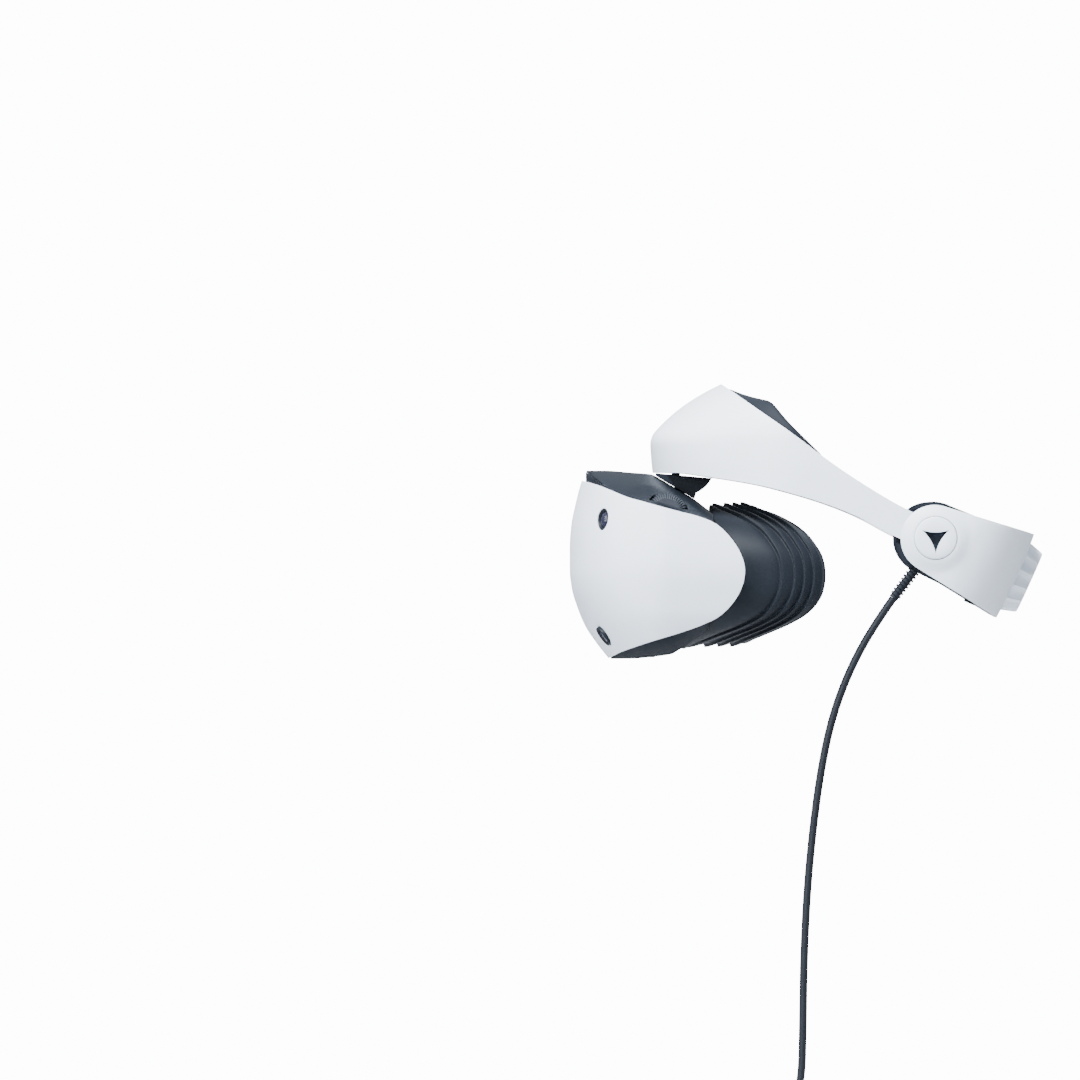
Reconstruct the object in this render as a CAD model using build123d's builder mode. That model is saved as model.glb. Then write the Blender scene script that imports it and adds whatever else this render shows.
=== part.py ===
from build123d import *
from math import cos, hypot, pi, radians, sin, tan
import os

# A virtual-reality headset as worn: +X to the wearer's left, +Y to the rear, +Z up, millimetres.
# The origin is the middle of the space for the wearer's head.

os.makedirs("parts", exist_ok=True)

# ---------------------------------------------------------------- driving dimensions
WALL = 2.5                    # moulded outer covers
FIT = 0.3                     # space between neighbouring covers
SLIP = 0.05                   # radial running clearance of shafts and stems

# scope: the housing in front of the eyes
SCOPE_HALF = 102.0            # half the width of the white visor at eye height
VISOR_ARC_Y = -106.0          # where the rounded front of the visor runs into its straight sides
SCOPE_REAR = -62.0            # past the rearmost point of the visor
VISOR_SECTIONS = [            # height, front face at the middle, share of the half width
    (14, -150.5, 0.93), (-10, -158.8, 0.975), (-38, -161.5, 1.0), (-66, -157.2, 0.95), (-96, -138.0, 0.80)]
TILT = 4.4                    # fall of the scope's slide towards the rear, degrees

# tracking cameras: middle of the glass on the left side, and the way it looks
CAMERA_R = 6.0
CAMERAS = {"upper": ((72.3, -142.9, -16.4), (0.49, -0.865, 0.1)),
           "lower": ((50.0, -143.2, -81.6), (0.2, -0.79, -0.58))}

# eye optics
EYE_Z = -42.0
EYE_X = 32.5                  # half of a 65 mm eye spacing
EYE_TRAVEL = 3.5
BARREL_R = 25.0
BARREL_WALL = 2.2
BARREL_FRONT, BARREL_BACK = -117.0, -88.0
SCREW_Y, SCREW_Z = -108.1, -13.1
SCREW_R = 2.0
IPD_WHEEL_R = 11.7
IPD_WHEEL_X = 77.0
IPD_WHEEL_WIDTH = 6.0
RAIL_Z = -71.0

# headband, front half
BAND_HALF = 82.0
BAND_ARC_Y = -30.0
BAND_SECTIONS = [             # height, front face at the middle, share of the half width
    (-60, -116, 1.0), (10, -115.5, 1.0), (28, -116.2, 0.99), (34, -112.8, 0.97), (42, -104.2, 0.93),
    (49, -94.7, 0.88), (55, -85.0, 0.82), (62, -71.0, 0.74)]

# rear unit: its own tilted frame, u to the rear and down along the band, n up across it
REAR_TILT = 24.4
REAR_Y, REAR_Z = 40.4, -27.2  # middle of the round front ends
REAR_HALF = 88.0
REAR_CORNER = 38.0
REAR_U = 49.7                 # back face
REAR_END_R = 18.8
REAR_SPLAY = 7.3              # each edge opens by this many degrees towards the back
TRAY_DEPTH = 10.5             # outer face of the white cover to the floor of the dark tray
DIAL_R, DIAL_TIP_R, DIAL_DEEP = 20.3, 17.4, 9.3
BUTTON_R = 9.2
PINION_TEETH, PINION_MODULE = 12, 1.5
RACK_U, RACK_THICK = 43.0, 3.0

# cable
CABLE_R = 2.2
CABLE_X = 81.5
COIL_MEAN_R, COIL_HALF, COIL_HIGH = 30.5, 9.2, 28.6
COIL_X, COIL_Y = 50.8, -56.0
FLOOR_Z = -379.8
JACK_R, JACK_LENGTH = 1.8, 14.0

# ---------------------------------------------------------------- planes
uc, us = cos(radians(REAR_TILT)), sin(radians(REAR_TILT))
REAR_PLAN = Plane(origin=(0, REAR_Y, REAR_Z), x_dir=(1, 0, 0), z_dir=(0, us, uc))
REAR_SIDE = Plane(origin=(0, REAR_Y, REAR_Z), x_dir=(0, uc, -us), z_dir=(1, 0, 0))
tc, ts = cos(radians(TILT)), sin(radians(TILT))


def rear_point(x, u, n):
    """A point of the rear unit's tilted frame in the headset's own frame."""
    return (x, REAR_Y + u * uc + n * us, REAR_Z - u * us + n * uc)


def across(u):
    """The plane across the band at u, looking to the rear, with x to the left and y up."""
    return Plane(origin=rear_point(0, u, 0), x_dir=(-1, 0, 0), z_dir=(0, uc, -us))


def camera_plane(side, level):
    """The plane of a camera's glass, facing out, on the left (side 1) or the right (side -1)."""
    (x, y, z), (across_aim, along_aim, up_aim) = CAMERAS[level]
    return Plane(origin=(side * x, y, z), z_dir=(side * across_aim, along_aim, up_aim))


def keep(part, name):
    """Label a finished piece and write it."""
    part.label = name
    export_step(part, f"parts/{name}.step")


def stretches(*runs):
    """Lines of two points, arcs of three and smooth curves of more, end to end."""
    for run in runs:
        if len(run) == 2:
            Line(*run)
        elif len(run) == 3:
            ThreePointArc(*run)
        else:
            Spline(*run)


def side_block(*runs, half=120.0):
    """A block with the given outline seen from the side, as wide as 2 x half."""
    with BuildPart() as block:
        with BuildSketch(Plane.YZ):
            with BuildLine():
                stretches(*runs)
            make_face()
        extrude(amount=half, both=True)
    return block.part


def rounded_space(sections, half, arc_y, rear, inset, ruled=False):
    """The space inside a rounded front: half an ellipse at each height, with straight sides."""
    with BuildPart() as space:
        for height, front, share in sections:
            side = half * share - inset
            with BuildSketch(Plane.XY.offset(height)):
                with BuildLine():
                    EllipticalCenterArc((0, arc_y), side, arc_y - front - inset, start_angle=180,
                                        arc_size=180)
                    Polyline((side, arc_y), (side, rear), (-side, rear), (-side, arc_y))
                make_face()
        loft(ruled=ruled)
    return space.part


def visor_space(inset):
    return rounded_space(VISOR_SECTIONS, SCOPE_HALF, VISOR_ARC_Y, SCOPE_REAR, inset)


def band_space(inset, rear=75.0):
    return rounded_space(BAND_SECTIONS, BAND_HALF, BAND_ARC_Y, rear, inset, ruled=True)


def rear_space(inset, front=-32.0):
    """The bullet-shaped space inside the rear unit's outer face."""
    half, back = REAR_HALF - inset, REAR_U - inset
    with BuildPart() as space:
        with BuildSketch(REAR_PLAN.offset(-40)):
            with BuildLine():
                FilletPolyline((-half, front), (-half, back), (half, back), (half, front),
                               radius=REAR_CORNER - inset)
                Line((half, front), (-half, front))
            make_face()
        extrude(amount=80)
    return space.part


def rear_side_block(outset, shift=0.0, half=100.0, start=None):
    """The rear unit's outline from the side: a round end, opening towards the back."""
    r = REAR_END_R + outset
    a = radians(REAR_SPLAY)
    reach = 66.0
    edge = r * cos(a) + (reach + r * sin(a)) * tan(a)
    top, low = (shift - r * sin(a), r * cos(a)), (shift - r * sin(a), -r * cos(a))
    with BuildPart() as block:
        with BuildSketch(REAR_SIDE):
            with BuildLine():
                ThreePointArc(top, (shift - r, 0), low)
                Polyline(low, (shift + reach, -edge), (shift + reach, edge), top)
            make_face()
            if start is not None:
                with Locations((start - 100, 0)):
                    Rectangle(200, 200, mode=Mode.SUBTRACT)
        extrude(amount=half, both=True)
    return block.part


def crowned_plate(runs, crown):
    """A sheet whose outline from the side is repeated across the width, lower by the crown."""
    with BuildPart() as plate:
        for x, drop in crown:
            with BuildSketch(Plane.YZ.offset(x)):
                with BuildLine():
                    Polyline(*[(y, z - drop) for y, z in runs], close=True)
                make_face()
        loft(ruled=True)
    return plate.part


# ---------------------------------------------------------------- scope covers
TOP_LINE = [(-152.1, 10.8), (-141.7, 10.8), (-128, 9.8), (-115.8, 8.7), (-113.8, 7.3), (-101, -0.3),
            (-92.2, -5.7), (-86.8, -9.7)]
TOP_CROWN = [(-100, 17), (-84, 8), (-52, 1.5), (0, 0), (52, 1.5), (84, 8), (100, 17)]
LOW_LINE = [(-139.9, -93.9), (-127.5, -93.7), (-113.9, -92.6), (-104.6, -91.4), (-102.2, -89.7),
            (-86.8, -80.6)]
LOW_CROWN = [(-92, -20), (-66, -7), (-40, -1.5), (0, 0), (40, -1.5), (66, -7), (92, -20)]
PLATE = 2.0

# white visor: the lofted front, trimmed by its top edge, its rounded rear point and its lower edge
with BuildPart() as visor_shell:
    add(visor_space(0))
    add(visor_space(WALL), mode=Mode.SUBTRACT)
    add(side_block(
        [(-175, 11), (-155.4, 5.3)],
        [(-155.4, 5.3), (-136, -1.7), (-112, -9), (-92, -14.2), (-83, -17.3)],
        [(-83, -17.3), (-76, -22), (-66.8, -36), (-64.5, -45), (-66, -53), (-74, -67.4), (-82, -72.2)],
        [(-82, -72.2), (-103, -80.2), (-124, -86.6), (-140, -93.7)],
        [(-140, -93.7), (-175, -110)], [(-175, -110), (-175, 11)]), mode=Mode.INTERSECT)
    for side in (-1, 1):
        for level in CAMERAS:
            with Locations(camera_plane(side, level)):
                Cylinder(CAMERA_R + FIT, 40, mode=Mode.SUBTRACT)
keep(visor_shell.part, "visor_shell")

# dark top plate with the opening for the slide tongue, the wheel and the release button
with BuildPart() as top_cover:
    add(crowned_plate(TOP_LINE + [(y, z - PLATE) for y, z in reversed(TOP_LINE)], TOP_CROWN))
    add(visor_space(WALL + FIT), mode=Mode.INTERSECT)
    with Locations((0, -103.5, 0)):
        Box(30, 23, 40, mode=Mode.SUBTRACT)
    with Locations((IPD_WHEEL_X, SCREW_Y, 0)):
        Box(IPD_WHEEL_WIDTH + 1.4, 25, 30, mode=Mode.SUBTRACT)
    with Locations((-IPD_WHEEL_X + 6, SCREW_Y, 0)):
        Box(16.8, 9.8, 30, mode=Mode.SUBTRACT)
keep(top_cover.part, "top_cover")

# dark lower housing with the two button openings
with BuildPart() as bottom_cover:
    add(crowned_plate(LOW_LINE + [(y, z + PLATE) for y, z in reversed(LOW_LINE)], LOW_CROWN))
    add(visor_space(WALL + FIT), mode=Mode.INTERSECT)
    with Locations((34, -119, -92), (-34, -119, -92)):
        Cylinder(5.3, 20, mode=Mode.SUBTRACT)
keep(bottom_cover.part, "bottom_cover")

# front air inlet: slats under the front edge of the top plate
with BuildPart() as vent_grille:
    with Locations((0, -147.5, 6.9), (0, -147.5, 1.4)):
        Box(62, 3, 1.2)
    with Locations((0, -147.5, 4.15)):
        with GridLocations(4.6, 0, 14, 1):
            Box(1.4, 3, 5.5)
keep(vent_grille.part, "vent_grille")

# ---------------------------------------------------------------- cameras
for side, word in ((1, "left"), (-1, "right")):
    for level in CAMERAS:
        glass_plane = camera_plane(side, level)
        with BuildPart() as housing:
            with BuildSketch(glass_plane.offset(-8)):
                Circle(CAMERA_R)
            extrude(amount=8)
            with BuildSketch(glass_plane.offset(-1.6)):
                Circle(CAMERA_R - 1.1)
            extrude(amount=3, mode=Mode.SUBTRACT)
        keep(housing.part, f"camera_{level}_{word}")
        with BuildPart() as window:
            with BuildSketch(glass_plane.offset(-1.5)):
                Circle(CAMERA_R - 1.2)
            extrude(amount=1.0)
        keep(window.part, f"camera_{level}_{word}_window")

# ---------------------------------------------------------------- scope interior
# rear wall of the scope, behind which the light shield is fixed
with BuildPart() as face_plate:
    with BuildSketch(Plane.XZ.offset(84.6)):
        with Locations((0, -45.5)):
            RectangleRounded(186, 64, 30)
        for side in (-1, 1):
            with Locations((side * EYE_X, EYE_Z)):
                SlotCenterToCenter(2 * EYE_TRAVEL, 45.4, mode=Mode.SUBTRACT)
    extrude(amount=2.0)
keep(face_plate.part, "face_plate")

# chassis plate: carries the rail and the lead screw
with BuildPart() as scope_chassis:
    with BuildSketch(Plane.XZ.offset(96)):
        with Locations((0, -44.5)):
            RectangleRounded(170, 58, 26)
        for side in (-1, 1):
            with Locations((side * EYE_X, EYE_Z)):
                SlotCenterToCenter(2 * EYE_TRAVEL, 2 * BARREL_R + 1.2, mode=Mode.SUBTRACT)
    extrude(amount=2.4)
    for x in (-60.5, 66.5):
        with Locations((x, (SCREW_Y - 96) / 2 - 2, SCREW_Z - 4.2)):
            Box(4, -96 - SCREW_Y + 4, 13.6)
    for x in (-68.0, 68.0):
        with Locations((x, (SCREW_Y - 96) / 2 - 2, RAIL_Z + 2)):
            Box(4, -96 - SCREW_Y + 4, 11)
    with Locations(Plane(origin=(IPD_WHEEL_X, SCREW_Y, SCREW_Z), z_dir=(1, 0, 0))):
        Cylinder(IPD_WHEEL_R + 0.8, IPD_WHEEL_WIDTH + 2, mode=Mode.SUBTRACT)
    with Locations(Plane(origin=(0, SCREW_Y, SCREW_Z), z_dir=(1, 0, 0))):
        Cylinder(SCREW_R + SLIP, 200, mode=Mode.SUBTRACT)
    with Locations(Plane(origin=(0, SCREW_Y, RAIL_Z), z_dir=(1, 0, 0))):
        Cylinder(SCREW_R, 200, mode=Mode.SUBTRACT)
keep(scope_chassis.part, "scope_chassis")

with BuildPart() as lens_rail:
    with Locations(Plane(origin=(0, SCREW_Y, RAIL_Z), z_dir=(1, 0, 0))):
        Cylinder(SCREW_R, 140)
keep(lens_rail.part, "lens_rail")

with BuildPart() as mainboard:
    with BuildSketch(Plane.XZ.offset(124)):
        with Locations((0, -50)):
            RectangleRounded(118, 58, 4)
        with Locations((0, -50)):
            with GridLocations(108, 48, 2, 2):
                Circle(1.6, mode=Mode.SUBTRACT)
    extrude(amount=1.6)
    for x, z, wide, high in ((0, -44, 20, 20), (-30, -40, 12, 14), (30, -40, 12, 14), (36, -64, 16, 6)):
        with Locations((x, -126.3, z)):
            Box(wide, 1.8, high)
keep(mainboard.part, "mainboard")

with BuildPart() as heat_sink:
    with Locations((0, -128.6, -44)):
        Box(84, 2.0, 34)
    with Locations((0, -134.5, -44)):
        with GridLocations(6, 0, 14, 1):
            Box(1.2, 10, 34)
keep(heat_sink.part, "heat_sink")

# blower under the air inlet, with its own rotor
FAN_X, FAN_Y, FAN_Z = 0.0, -135.2, -14.0
with BuildPart() as fan_housing:
    with Locations((FAN_X, FAN_Y, FAN_Z)):
        Box(44, 30, 9)
        Cylinder(13.6, 7.4, mode=Mode.SUBTRACT)
    with Locations((FAN_X, FAN_Y, FAN_Z + 4.2)):
        Cylinder(9, 3, mode=Mode.SUBTRACT)
    with Locations((FAN_X + 16, FAN_Y - 10, FAN_Z)):
        Box(20, 14, 6, mode=Mode.SUBTRACT)
keep(fan_housing.part, "fan_housing")

with BuildPart() as fan_rotor:
    with Locations((FAN_X, FAN_Y, FAN_Z)):
        Cylinder(5, 6)
    with Locations((FAN_X, FAN_Y, FAN_Z - 2.5)):
        Cylinder(12.8, 1)
    with Locations((FAN_X, FAN_Y, FAN_Z + 0.2)):
        with PolarLocations(8.6, 11):
            Box(8.4, 0.8, 5)
keep(fan_rotor.part, "fan_rotor")

with BuildPart() as haptic_motor:
    with Locations(Plane(origin=(0, -111, -85), z_dir=(1, 0, 0))):
        Cylinder(4, 14)
    with Locations((0, -111, -85)):
        Box(9, 6, 7.6)
keep(haptic_motor.part, "haptic_motor")

with BuildPart() as scope_screws:
    for x, z in ((-78, -32), (78, -32), (-78, -58), (78, -58), (0, -70)):
        with Locations(Plane(origin=(x, -98.5, z), z_dir=(0, -1, 0))):
            Cylinder(2.6, 1.6, align=(Align.CENTER, Align.CENTER, Align.MIN))
keep(scope_screws.part, "scope_screws")

# ---------------------------------------------------------------- eye optics
for side, word in ((1, "left"), (-1, "right")):
    eye = Plane(origin=(side * EYE_X, 0, EYE_Z), x_dir=(1, 0, 0), z_dir=(0, -1, 0))
    with BuildPart() as barrel:
        with BuildSketch(eye.offset(-BARREL_BACK)):
            Circle(BARREL_R)
        extrude(amount=BARREL_BACK - BARREL_FRONT)
        with BuildSketch(eye.offset(-BARREL_BACK)):
            Circle(BARREL_R - BARREL_WALL)
        extrude(amount=BARREL_BACK - BARREL_FRONT, mode=Mode.SUBTRACT)
        with Locations((side * EYE_X, SCREW_Y, SCREW_Z - 2.2)):
            Box(10, 7, 9)
        with Locations((side * EYE_X, SCREW_Y, RAIL_Z + 2)):
            Box(24, 7, 10)
        with Locations(Plane(origin=(0, SCREW_Y, SCREW_Z), z_dir=(1, 0, 0))):
            Cylinder(SCREW_R + SLIP, 140, mode=Mode.SUBTRACT)
        with Locations(Plane(origin=(0, SCREW_Y, RAIL_Z), z_dir=(1, 0, 0))):
            Cylinder(SCREW_R + SLIP, 140, mode=Mode.SUBTRACT)
        with BuildSketch(eye.offset(-BARREL_BACK)):
            Circle(BARREL_R - BARREL_WALL)
        extrude(amount=BARREL_BACK - BARREL_FRONT, mode=Mode.SUBTRACT)
    keep(barrel.part, f"lens_barrel_{word}")
    with BuildPart() as lens:
        with BuildSketch(eye.offset(-BARREL_BACK + 2.0)):
            Circle(BARREL_R - BARREL_WALL - 0.1)
        extrude(amount=7)
        fillet(lens.edges().filter_by(GeomType.CIRCLE), 1.2)
    keep(lens.part, f"lens_{word}")
    with BuildPart() as display:
        with BuildSketch(eye.offset(-BARREL_FRONT + 0.1)):
            RectangleRounded(49, 49, 5)
        extrude(amount=2.4)
    keep(display.part, f"display_{word}")

# eye-spacing wheel on its lead screw
with BuildPart() as ipd_wheel:
    wheel_plane = Plane(origin=(IPD_WHEEL_X - IPD_WHEEL_WIDTH / 2, SCREW_Y, SCREW_Z), z_dir=(1, 0, 0))
    with BuildSketch(wheel_plane):
        Circle(IPD_WHEEL_R)
        with PolarLocations(IPD_WHEEL_R + 0.1, 40):
            Circle(0.55, mode=Mode.SUBTRACT)
        Circle(SCREW_R, mode=Mode.SUBTRACT)
    extrude(amount=IPD_WHEEL_WIDTH)
keep(ipd_wheel.part, "ipd_wheel")

with BuildPart() as ipd_leadscrew:
    with Locations(Plane(origin=((IPD_WHEEL_X + 3 - 64) / 2, SCREW_Y, SCREW_Z), z_dir=(1, 0, 0))):
        Cylinder(SCREW_R, IPD_WHEEL_X + 3 + 64)
keep(ipd_leadscrew.part, "ipd_leadscrew")

# ---------------------------------------------------------------- scope buttons
with BuildPart() as scope_release_button:
    with Locations((-IPD_WHEEL_X + 6, SCREW_Y, -3.4)):
        Box(16, 9, 9)
    fillet(scope_release_button.edges().filter_by(Axis.Z), 3)
keep(scope_release_button.part, "scope_release_button")

for x, word in ((34, "power_button"), (-34, "function_button")):
    with BuildPart() as push:
        with Locations((x, -119, -90.9)):
            Cylinder(5.0, 4)
        fillet(push.faces().sort_by(Axis.Z)[0].edges(), 0.6)
    keep(push.part, word)

# ---------------------------------------------------------------- scope slide
TONGUE_HALF, TONGUE_THICK = 14.0, 4.0
slide_plane = Plane(origin=(0, -116, 0.6), x_dir=(1, 0, 0), z_dir=(0, ts, tc))
with BuildPart() as slide_housing:
    with Locations(slide_plane):
        with Locations((0, -13, 0)):
            Box(2 * TONGUE_HALF + 6, 26, TONGUE_THICK + 3.4)
            Box(2 * TONGUE_HALF + 0.8, 40, TONGUE_THICK + 0.8, mode=Mode.SUBTRACT)
keep(slide_housing.part, "slide_housing")

with BuildPart() as mount_arm:
    add(side_block(
        [(-113.5, 9.3), (-82.6, 6.5)], [(-82.6, 6.5), (-85.2, 2.7), (-87.6, 0.5), (-91.2, -1.6)],
        [(-91.2, -1.6), (-92.2, -4.8)], [(-92.2, -4.8), (-101.2, 0.6)], [(-101.2, 0.6), (-113.5, 8.0)],
        [(-113.5, 8.0), (-113.5, 9.3)], half=33))
    with Locations((0, -102.4, 16)):
        Box(54, 4.4, 22)
    with Locations(slide_plane):
        with Locations((0, -6, 0)):
            Box(2 * TONGUE_HALF, 44, TONGUE_THICK)
    with Locations((0, -98.0, 1.2)):
        Box(2 * TONGUE_HALF, 7, 6)
keep(mount_arm.part, "mount_arm")

# ---------------------------------------------------------------- light shield
SHIELD_HALF = 84.0


def face_round(front, half, deep):
    """The upright elliptical space that the wearer's face fills."""
    with BuildPart() as face:
        with BuildSketch(Plane.XY.offset(-120)):
            with Locations((0, front + deep)):
                Ellipse(half, deep)
        extrude(amount=240)
    return face.part


def front_round(wide, high, corner, z):
    """A block with a rounded outline seen from the front."""
    with BuildPart() as block:
        with BuildSketch(Plane.XZ):
            with Locations((0, z)):
                RectangleRounded(wide, high, corner)
        extrude(amount=130)
    return block.part


with BuildPart() as shield_cavity:
    add(side_block(
        [(-88, -14), (-60, -12), (-45, -15), (-33, -25), (-24, -46)],
        [(-24, -46), (-28, -60), (-42, -71), (-62, -79), (-88, -76)],
        [(-88, -76), (-88, -14)], half=SHIELD_HALF - 3.5))
    add(front_round(2 * SHIELD_HALF - 7, 78, 32, -47.6), mode=Mode.INTERSECT)

with BuildPart() as light_shield:
    add(side_block(
        [(-84.3, -10), (-70.6, -7.3), (-49.8, -10.7), (-31.7, -20.6), (-22, -34), (-19.5, -46)],
        [(-19.5, -46), (-21.6, -57), (-28.5, -69), (-49.8, -80), (-66, -85)],
        [(-66, -85), (-92.4, -90)], [(-92.4, -90), (-101, -90.2)], [(-101, -90.2), (-84.3, -80.4)],
        [(-84.3, -80.4), (-84.3, -10)], half=SHIELD_HALF))
    add(front_round(2 * SHIELD_HALF, 86, 36, -47.6), mode=Mode.INTERSECT)
    add(shield_cavity.part, mode=Mode.SUBTRACT)
    add(face_round(-61, 77, 90), mode=Mode.SUBTRACT)
    with Locations((0, -62, -82)):
        Box(30, 26, 20, mode=Mode.SUBTRACT)
keep(light_shield.part, "light_shield")

with BuildPart() as nose_flap:
    with BuildSketch(Plane.XZ.offset(52)):
        with BuildLine():
            Polyline((-14.6, -79.4), (-6, -66), (6, -66), (14.6, -79.4), (13.2, -79.4), (5.2, -67.2),
                     (-5.2, -67.2), (-13.2, -79.4), close=True)
        make_face()
    extrude(amount=22)
keep(nose_flap.part, "nose_flap")

# ---------------------------------------------------------------- headband, front half
BAND_TOP = [(-77.2, 58.9), (-57.8, 45), (-39.4, 32.1), (-18.6, 16.5), (-2.4, 5.4)]
BAND_LOW = [(-20.9, -7.5), (-39.4, -1.9), (-57.8, 2.7), (-82.7, 6.8), (-104, 9.6)]
arm_in = rear_point(0, -24, 8.8)[1:], rear_point(0, -24, -8.2)[1:]
ARM_END, ARM_TOP, ARM_LOW = 18.4, 8.2, -7.6
arm_out = rear_point(0, ARM_END, ARM_TOP)[1:], rear_point(0, ARM_END, ARM_LOW)[1:]


def band_side(top_in, low_in, tail):
    """The band from the side, its two long edges drawn in by a little, ending at its tail."""
    top = [(y, z - top_in) for y, z in BAND_TOP]
    low = [(y, z + low_in) for y, z in BAND_LOW]
    return side_block(
        [(-125, 9.6 + low_in), (-125, 75)], [(-125, 75), (-90, 75)], [(-90, 75), top[0]],
        top + [tail[0]], [tail[0], tail[1]], [tail[1]] + low, [low[-1], (-125, 9.6 + low_in)])


with BuildPart() as band_outline:
    add(band_side(0, 0, arm_in))
    add(side_block([arm_in[0], arm_out[0]], [arm_out[0], arm_out[1]], [arm_out[1], arm_in[1]],
                   [arm_in[1], arm_in[0]]))

with BuildPart() as band_outer_shell:
    add(band_space(0))
    add(band_space(WALL), mode=Mode.SUBTRACT)
    add(band_outline.part, mode=Mode.INTERSECT)
keep(band_outer_shell.part, "band_outer_shell")

with BuildPart() as band_inner_frame:
    add(band_space(WALL + FIT))
    add(band_space(2 * WALL + FIT), mode=Mode.SUBTRACT)
    add(band_side(1.6, 1.6, ((2, 1), (2, -13))), mode=Mode.INTERSECT)
keep(band_inner_frame.part, "band_inner_frame")

with BuildPart() as forehead_pad:
    add(band_space(2 * WALL + 2 * FIT))
    add(side_block(
        [(-98, 12), (-98, 48)], [(-98, 48), (-80, 58.4)], [(-80, 58.4), (-76.5, 58.6), (-68.7, 54.4)],
        [(-68.7, 54.4), (-60, 50.8), (-51.2, 50)],
        [(-51.2, 50), (-41, 38.4), (-25, 22.5), (-16, 14)], [(-16, 14), (-18, 0)],
        [(-18, 0), (-45, 4), (-98, 12)]), mode=Mode.INTERSECT)
    add(face_round(-70, 74, 92), mode=Mode.SUBTRACT)
keep(forehead_pad.part, "forehead_pad")

with BuildPart() as band_screws:
    for x in (-20, 20):
        with Locations(Plane(origin=(x, -100.1, 18), z_dir=(0, 1, 0))):
            Cylinder(2.6, 1.6, align=(Align.CENTER, Align.CENTER, Align.MIN))
keep(band_screws.part, "band_screws")

# ---------------------------------------------------------------- rear unit
DIAL_SEAT = REAR_U + 0.3
with BuildPart() as rear_outer_cover:
    add(rear_space(0))
    add(rear_space(WALL), mode=Mode.SUBTRACT)
    add(rear_side_block(0), mode=Mode.INTERSECT)
    with Locations(across(REAR_U)):
        Cylinder(6.1, 30, mode=Mode.SUBTRACT)
    for side in (-1, 1):
        with Locations(Plane(origin=rear_point(side * REAR_HALF, 0.3, 0.7), z_dir=(side, 0, 0))):
            Cylinder(12.0, 10, mode=Mode.SUBTRACT)
keep(rear_outer_cover.part, "rear_outer_cover")

TRAY_WALL = 2.0
with BuildPart() as tray_hollow:
    add(rear_space(-2))
    add(rear_space(TRAY_DEPTH), mode=Mode.SUBTRACT)
    add(rear_side_block(-TRAY_WALL - 0.3), mode=Mode.INTERSECT)
    for side in (-1, 1):
        with Locations(Plane(origin=rear_point(side * 83, -18, 0), x_dir=(0, uc, -us), z_dir=(1, 0, 0))):
            Box(30, 21, 11)

# behind its round ends the tray draws in under the white cover's edges
TRAY_HALVES = [(-1.0, 20.3), (18.0, 20.96), (66.0, 27.1)]     # u, half height
with BuildPart() as tray_edge:
    with BuildSketch(REAR_SIDE):
        with Locations((59, 0)):
            Rectangle(120, 120)
        Polygon(*TRAY_HALVES, *[(u, -n) for u, n in reversed(TRAY_HALVES)], align=None, mode=Mode.SUBTRACT)
    extrude(amount=100, both=True)

with BuildPart() as rear_inner_tray:
    add(rear_space(WALL + 0.2))
    add(rear_space(TRAY_DEPTH + 2), mode=Mode.SUBTRACT)
    add(rear_side_block(1.5, -1.0), mode=Mode.INTERSECT)
    add(tray_hollow.part, mode=Mode.SUBTRACT)
    add(tray_edge.part, mode=Mode.SUBTRACT)
    with Locations(across(REAR_U - TRAY_DEPTH)):
        Cylinder(4.05, 20, mode=Mode.SUBTRACT)
    with Locations(REAR_PLAN.offset(-24)):
        with Locations((-72.3, 34.0, 0)):
            Cylinder(3.3, 10, mode=Mode.SUBTRACT)
        with Locations((CABLE_X, -2.5, 0)):
            Cylinder(4.4, 16, mode=Mode.SUBTRACT)
keep(rear_inner_tray.part, "rear_inner_tray")

with BuildPart() as rear_pad:
    add(rear_space(TRAY_DEPTH + 2 + FIT))
    add(rear_space(TRAY_DEPTH + 14, front=-80), mode=Mode.SUBTRACT)
    add(rear_side_block(-2, start=4), mode=Mode.INTERSECT)
keep(rear_pad.part, "rear_pad")

# ear-tip holders: discs with a three-pointed recess of inward curves
for side, word in ((1, "left"), (-1, "right")):
    with BuildPart() as holder:
        disc = Plane(origin=rear_point(side * 85.9, 0.3, 0.7), x_dir=(0, side, 0), z_dir=(side, 0, 0))
        with BuildSketch(disc):
            Circle(11.8)
        extrude(amount=5.6)
        with BuildSketch(disc.offset(5.6)):
            with BuildLine():
                tips = [(8.8 * cos(radians(a)), 8.8 * sin(radians(a))) for a in (30, 150, 270)]
                waists = [(3.6 * cos(radians(a)), 3.6 * sin(radians(a))) for a in (90, 210, 330)]
                for k in range(3):
                    ThreePointArc(tips[k], waists[k], tips[(k + 1) % 3])
            make_face()
        extrude(amount=-4.4, mode=Mode.SUBTRACT)
    keep(holder.part, f"ear_tip_holder_{word}")

with BuildPart() as headphone_jack:
    with BuildSketch(REAR_PLAN.offset(-24.0)):
        with Locations((-72.3, 34.0)):
            Circle(3.1)
    extrude(amount=JACK_LENGTH + 2)
    with BuildSketch(REAR_PLAN.offset(-24.0)):
        with Locations((-72.3, 34.0)):
            Circle(JACK_R)
    extrude(amount=JACK_LENGTH, mode=Mode.SUBTRACT)
keep(headphone_jack.part, "headphone_jack")

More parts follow.
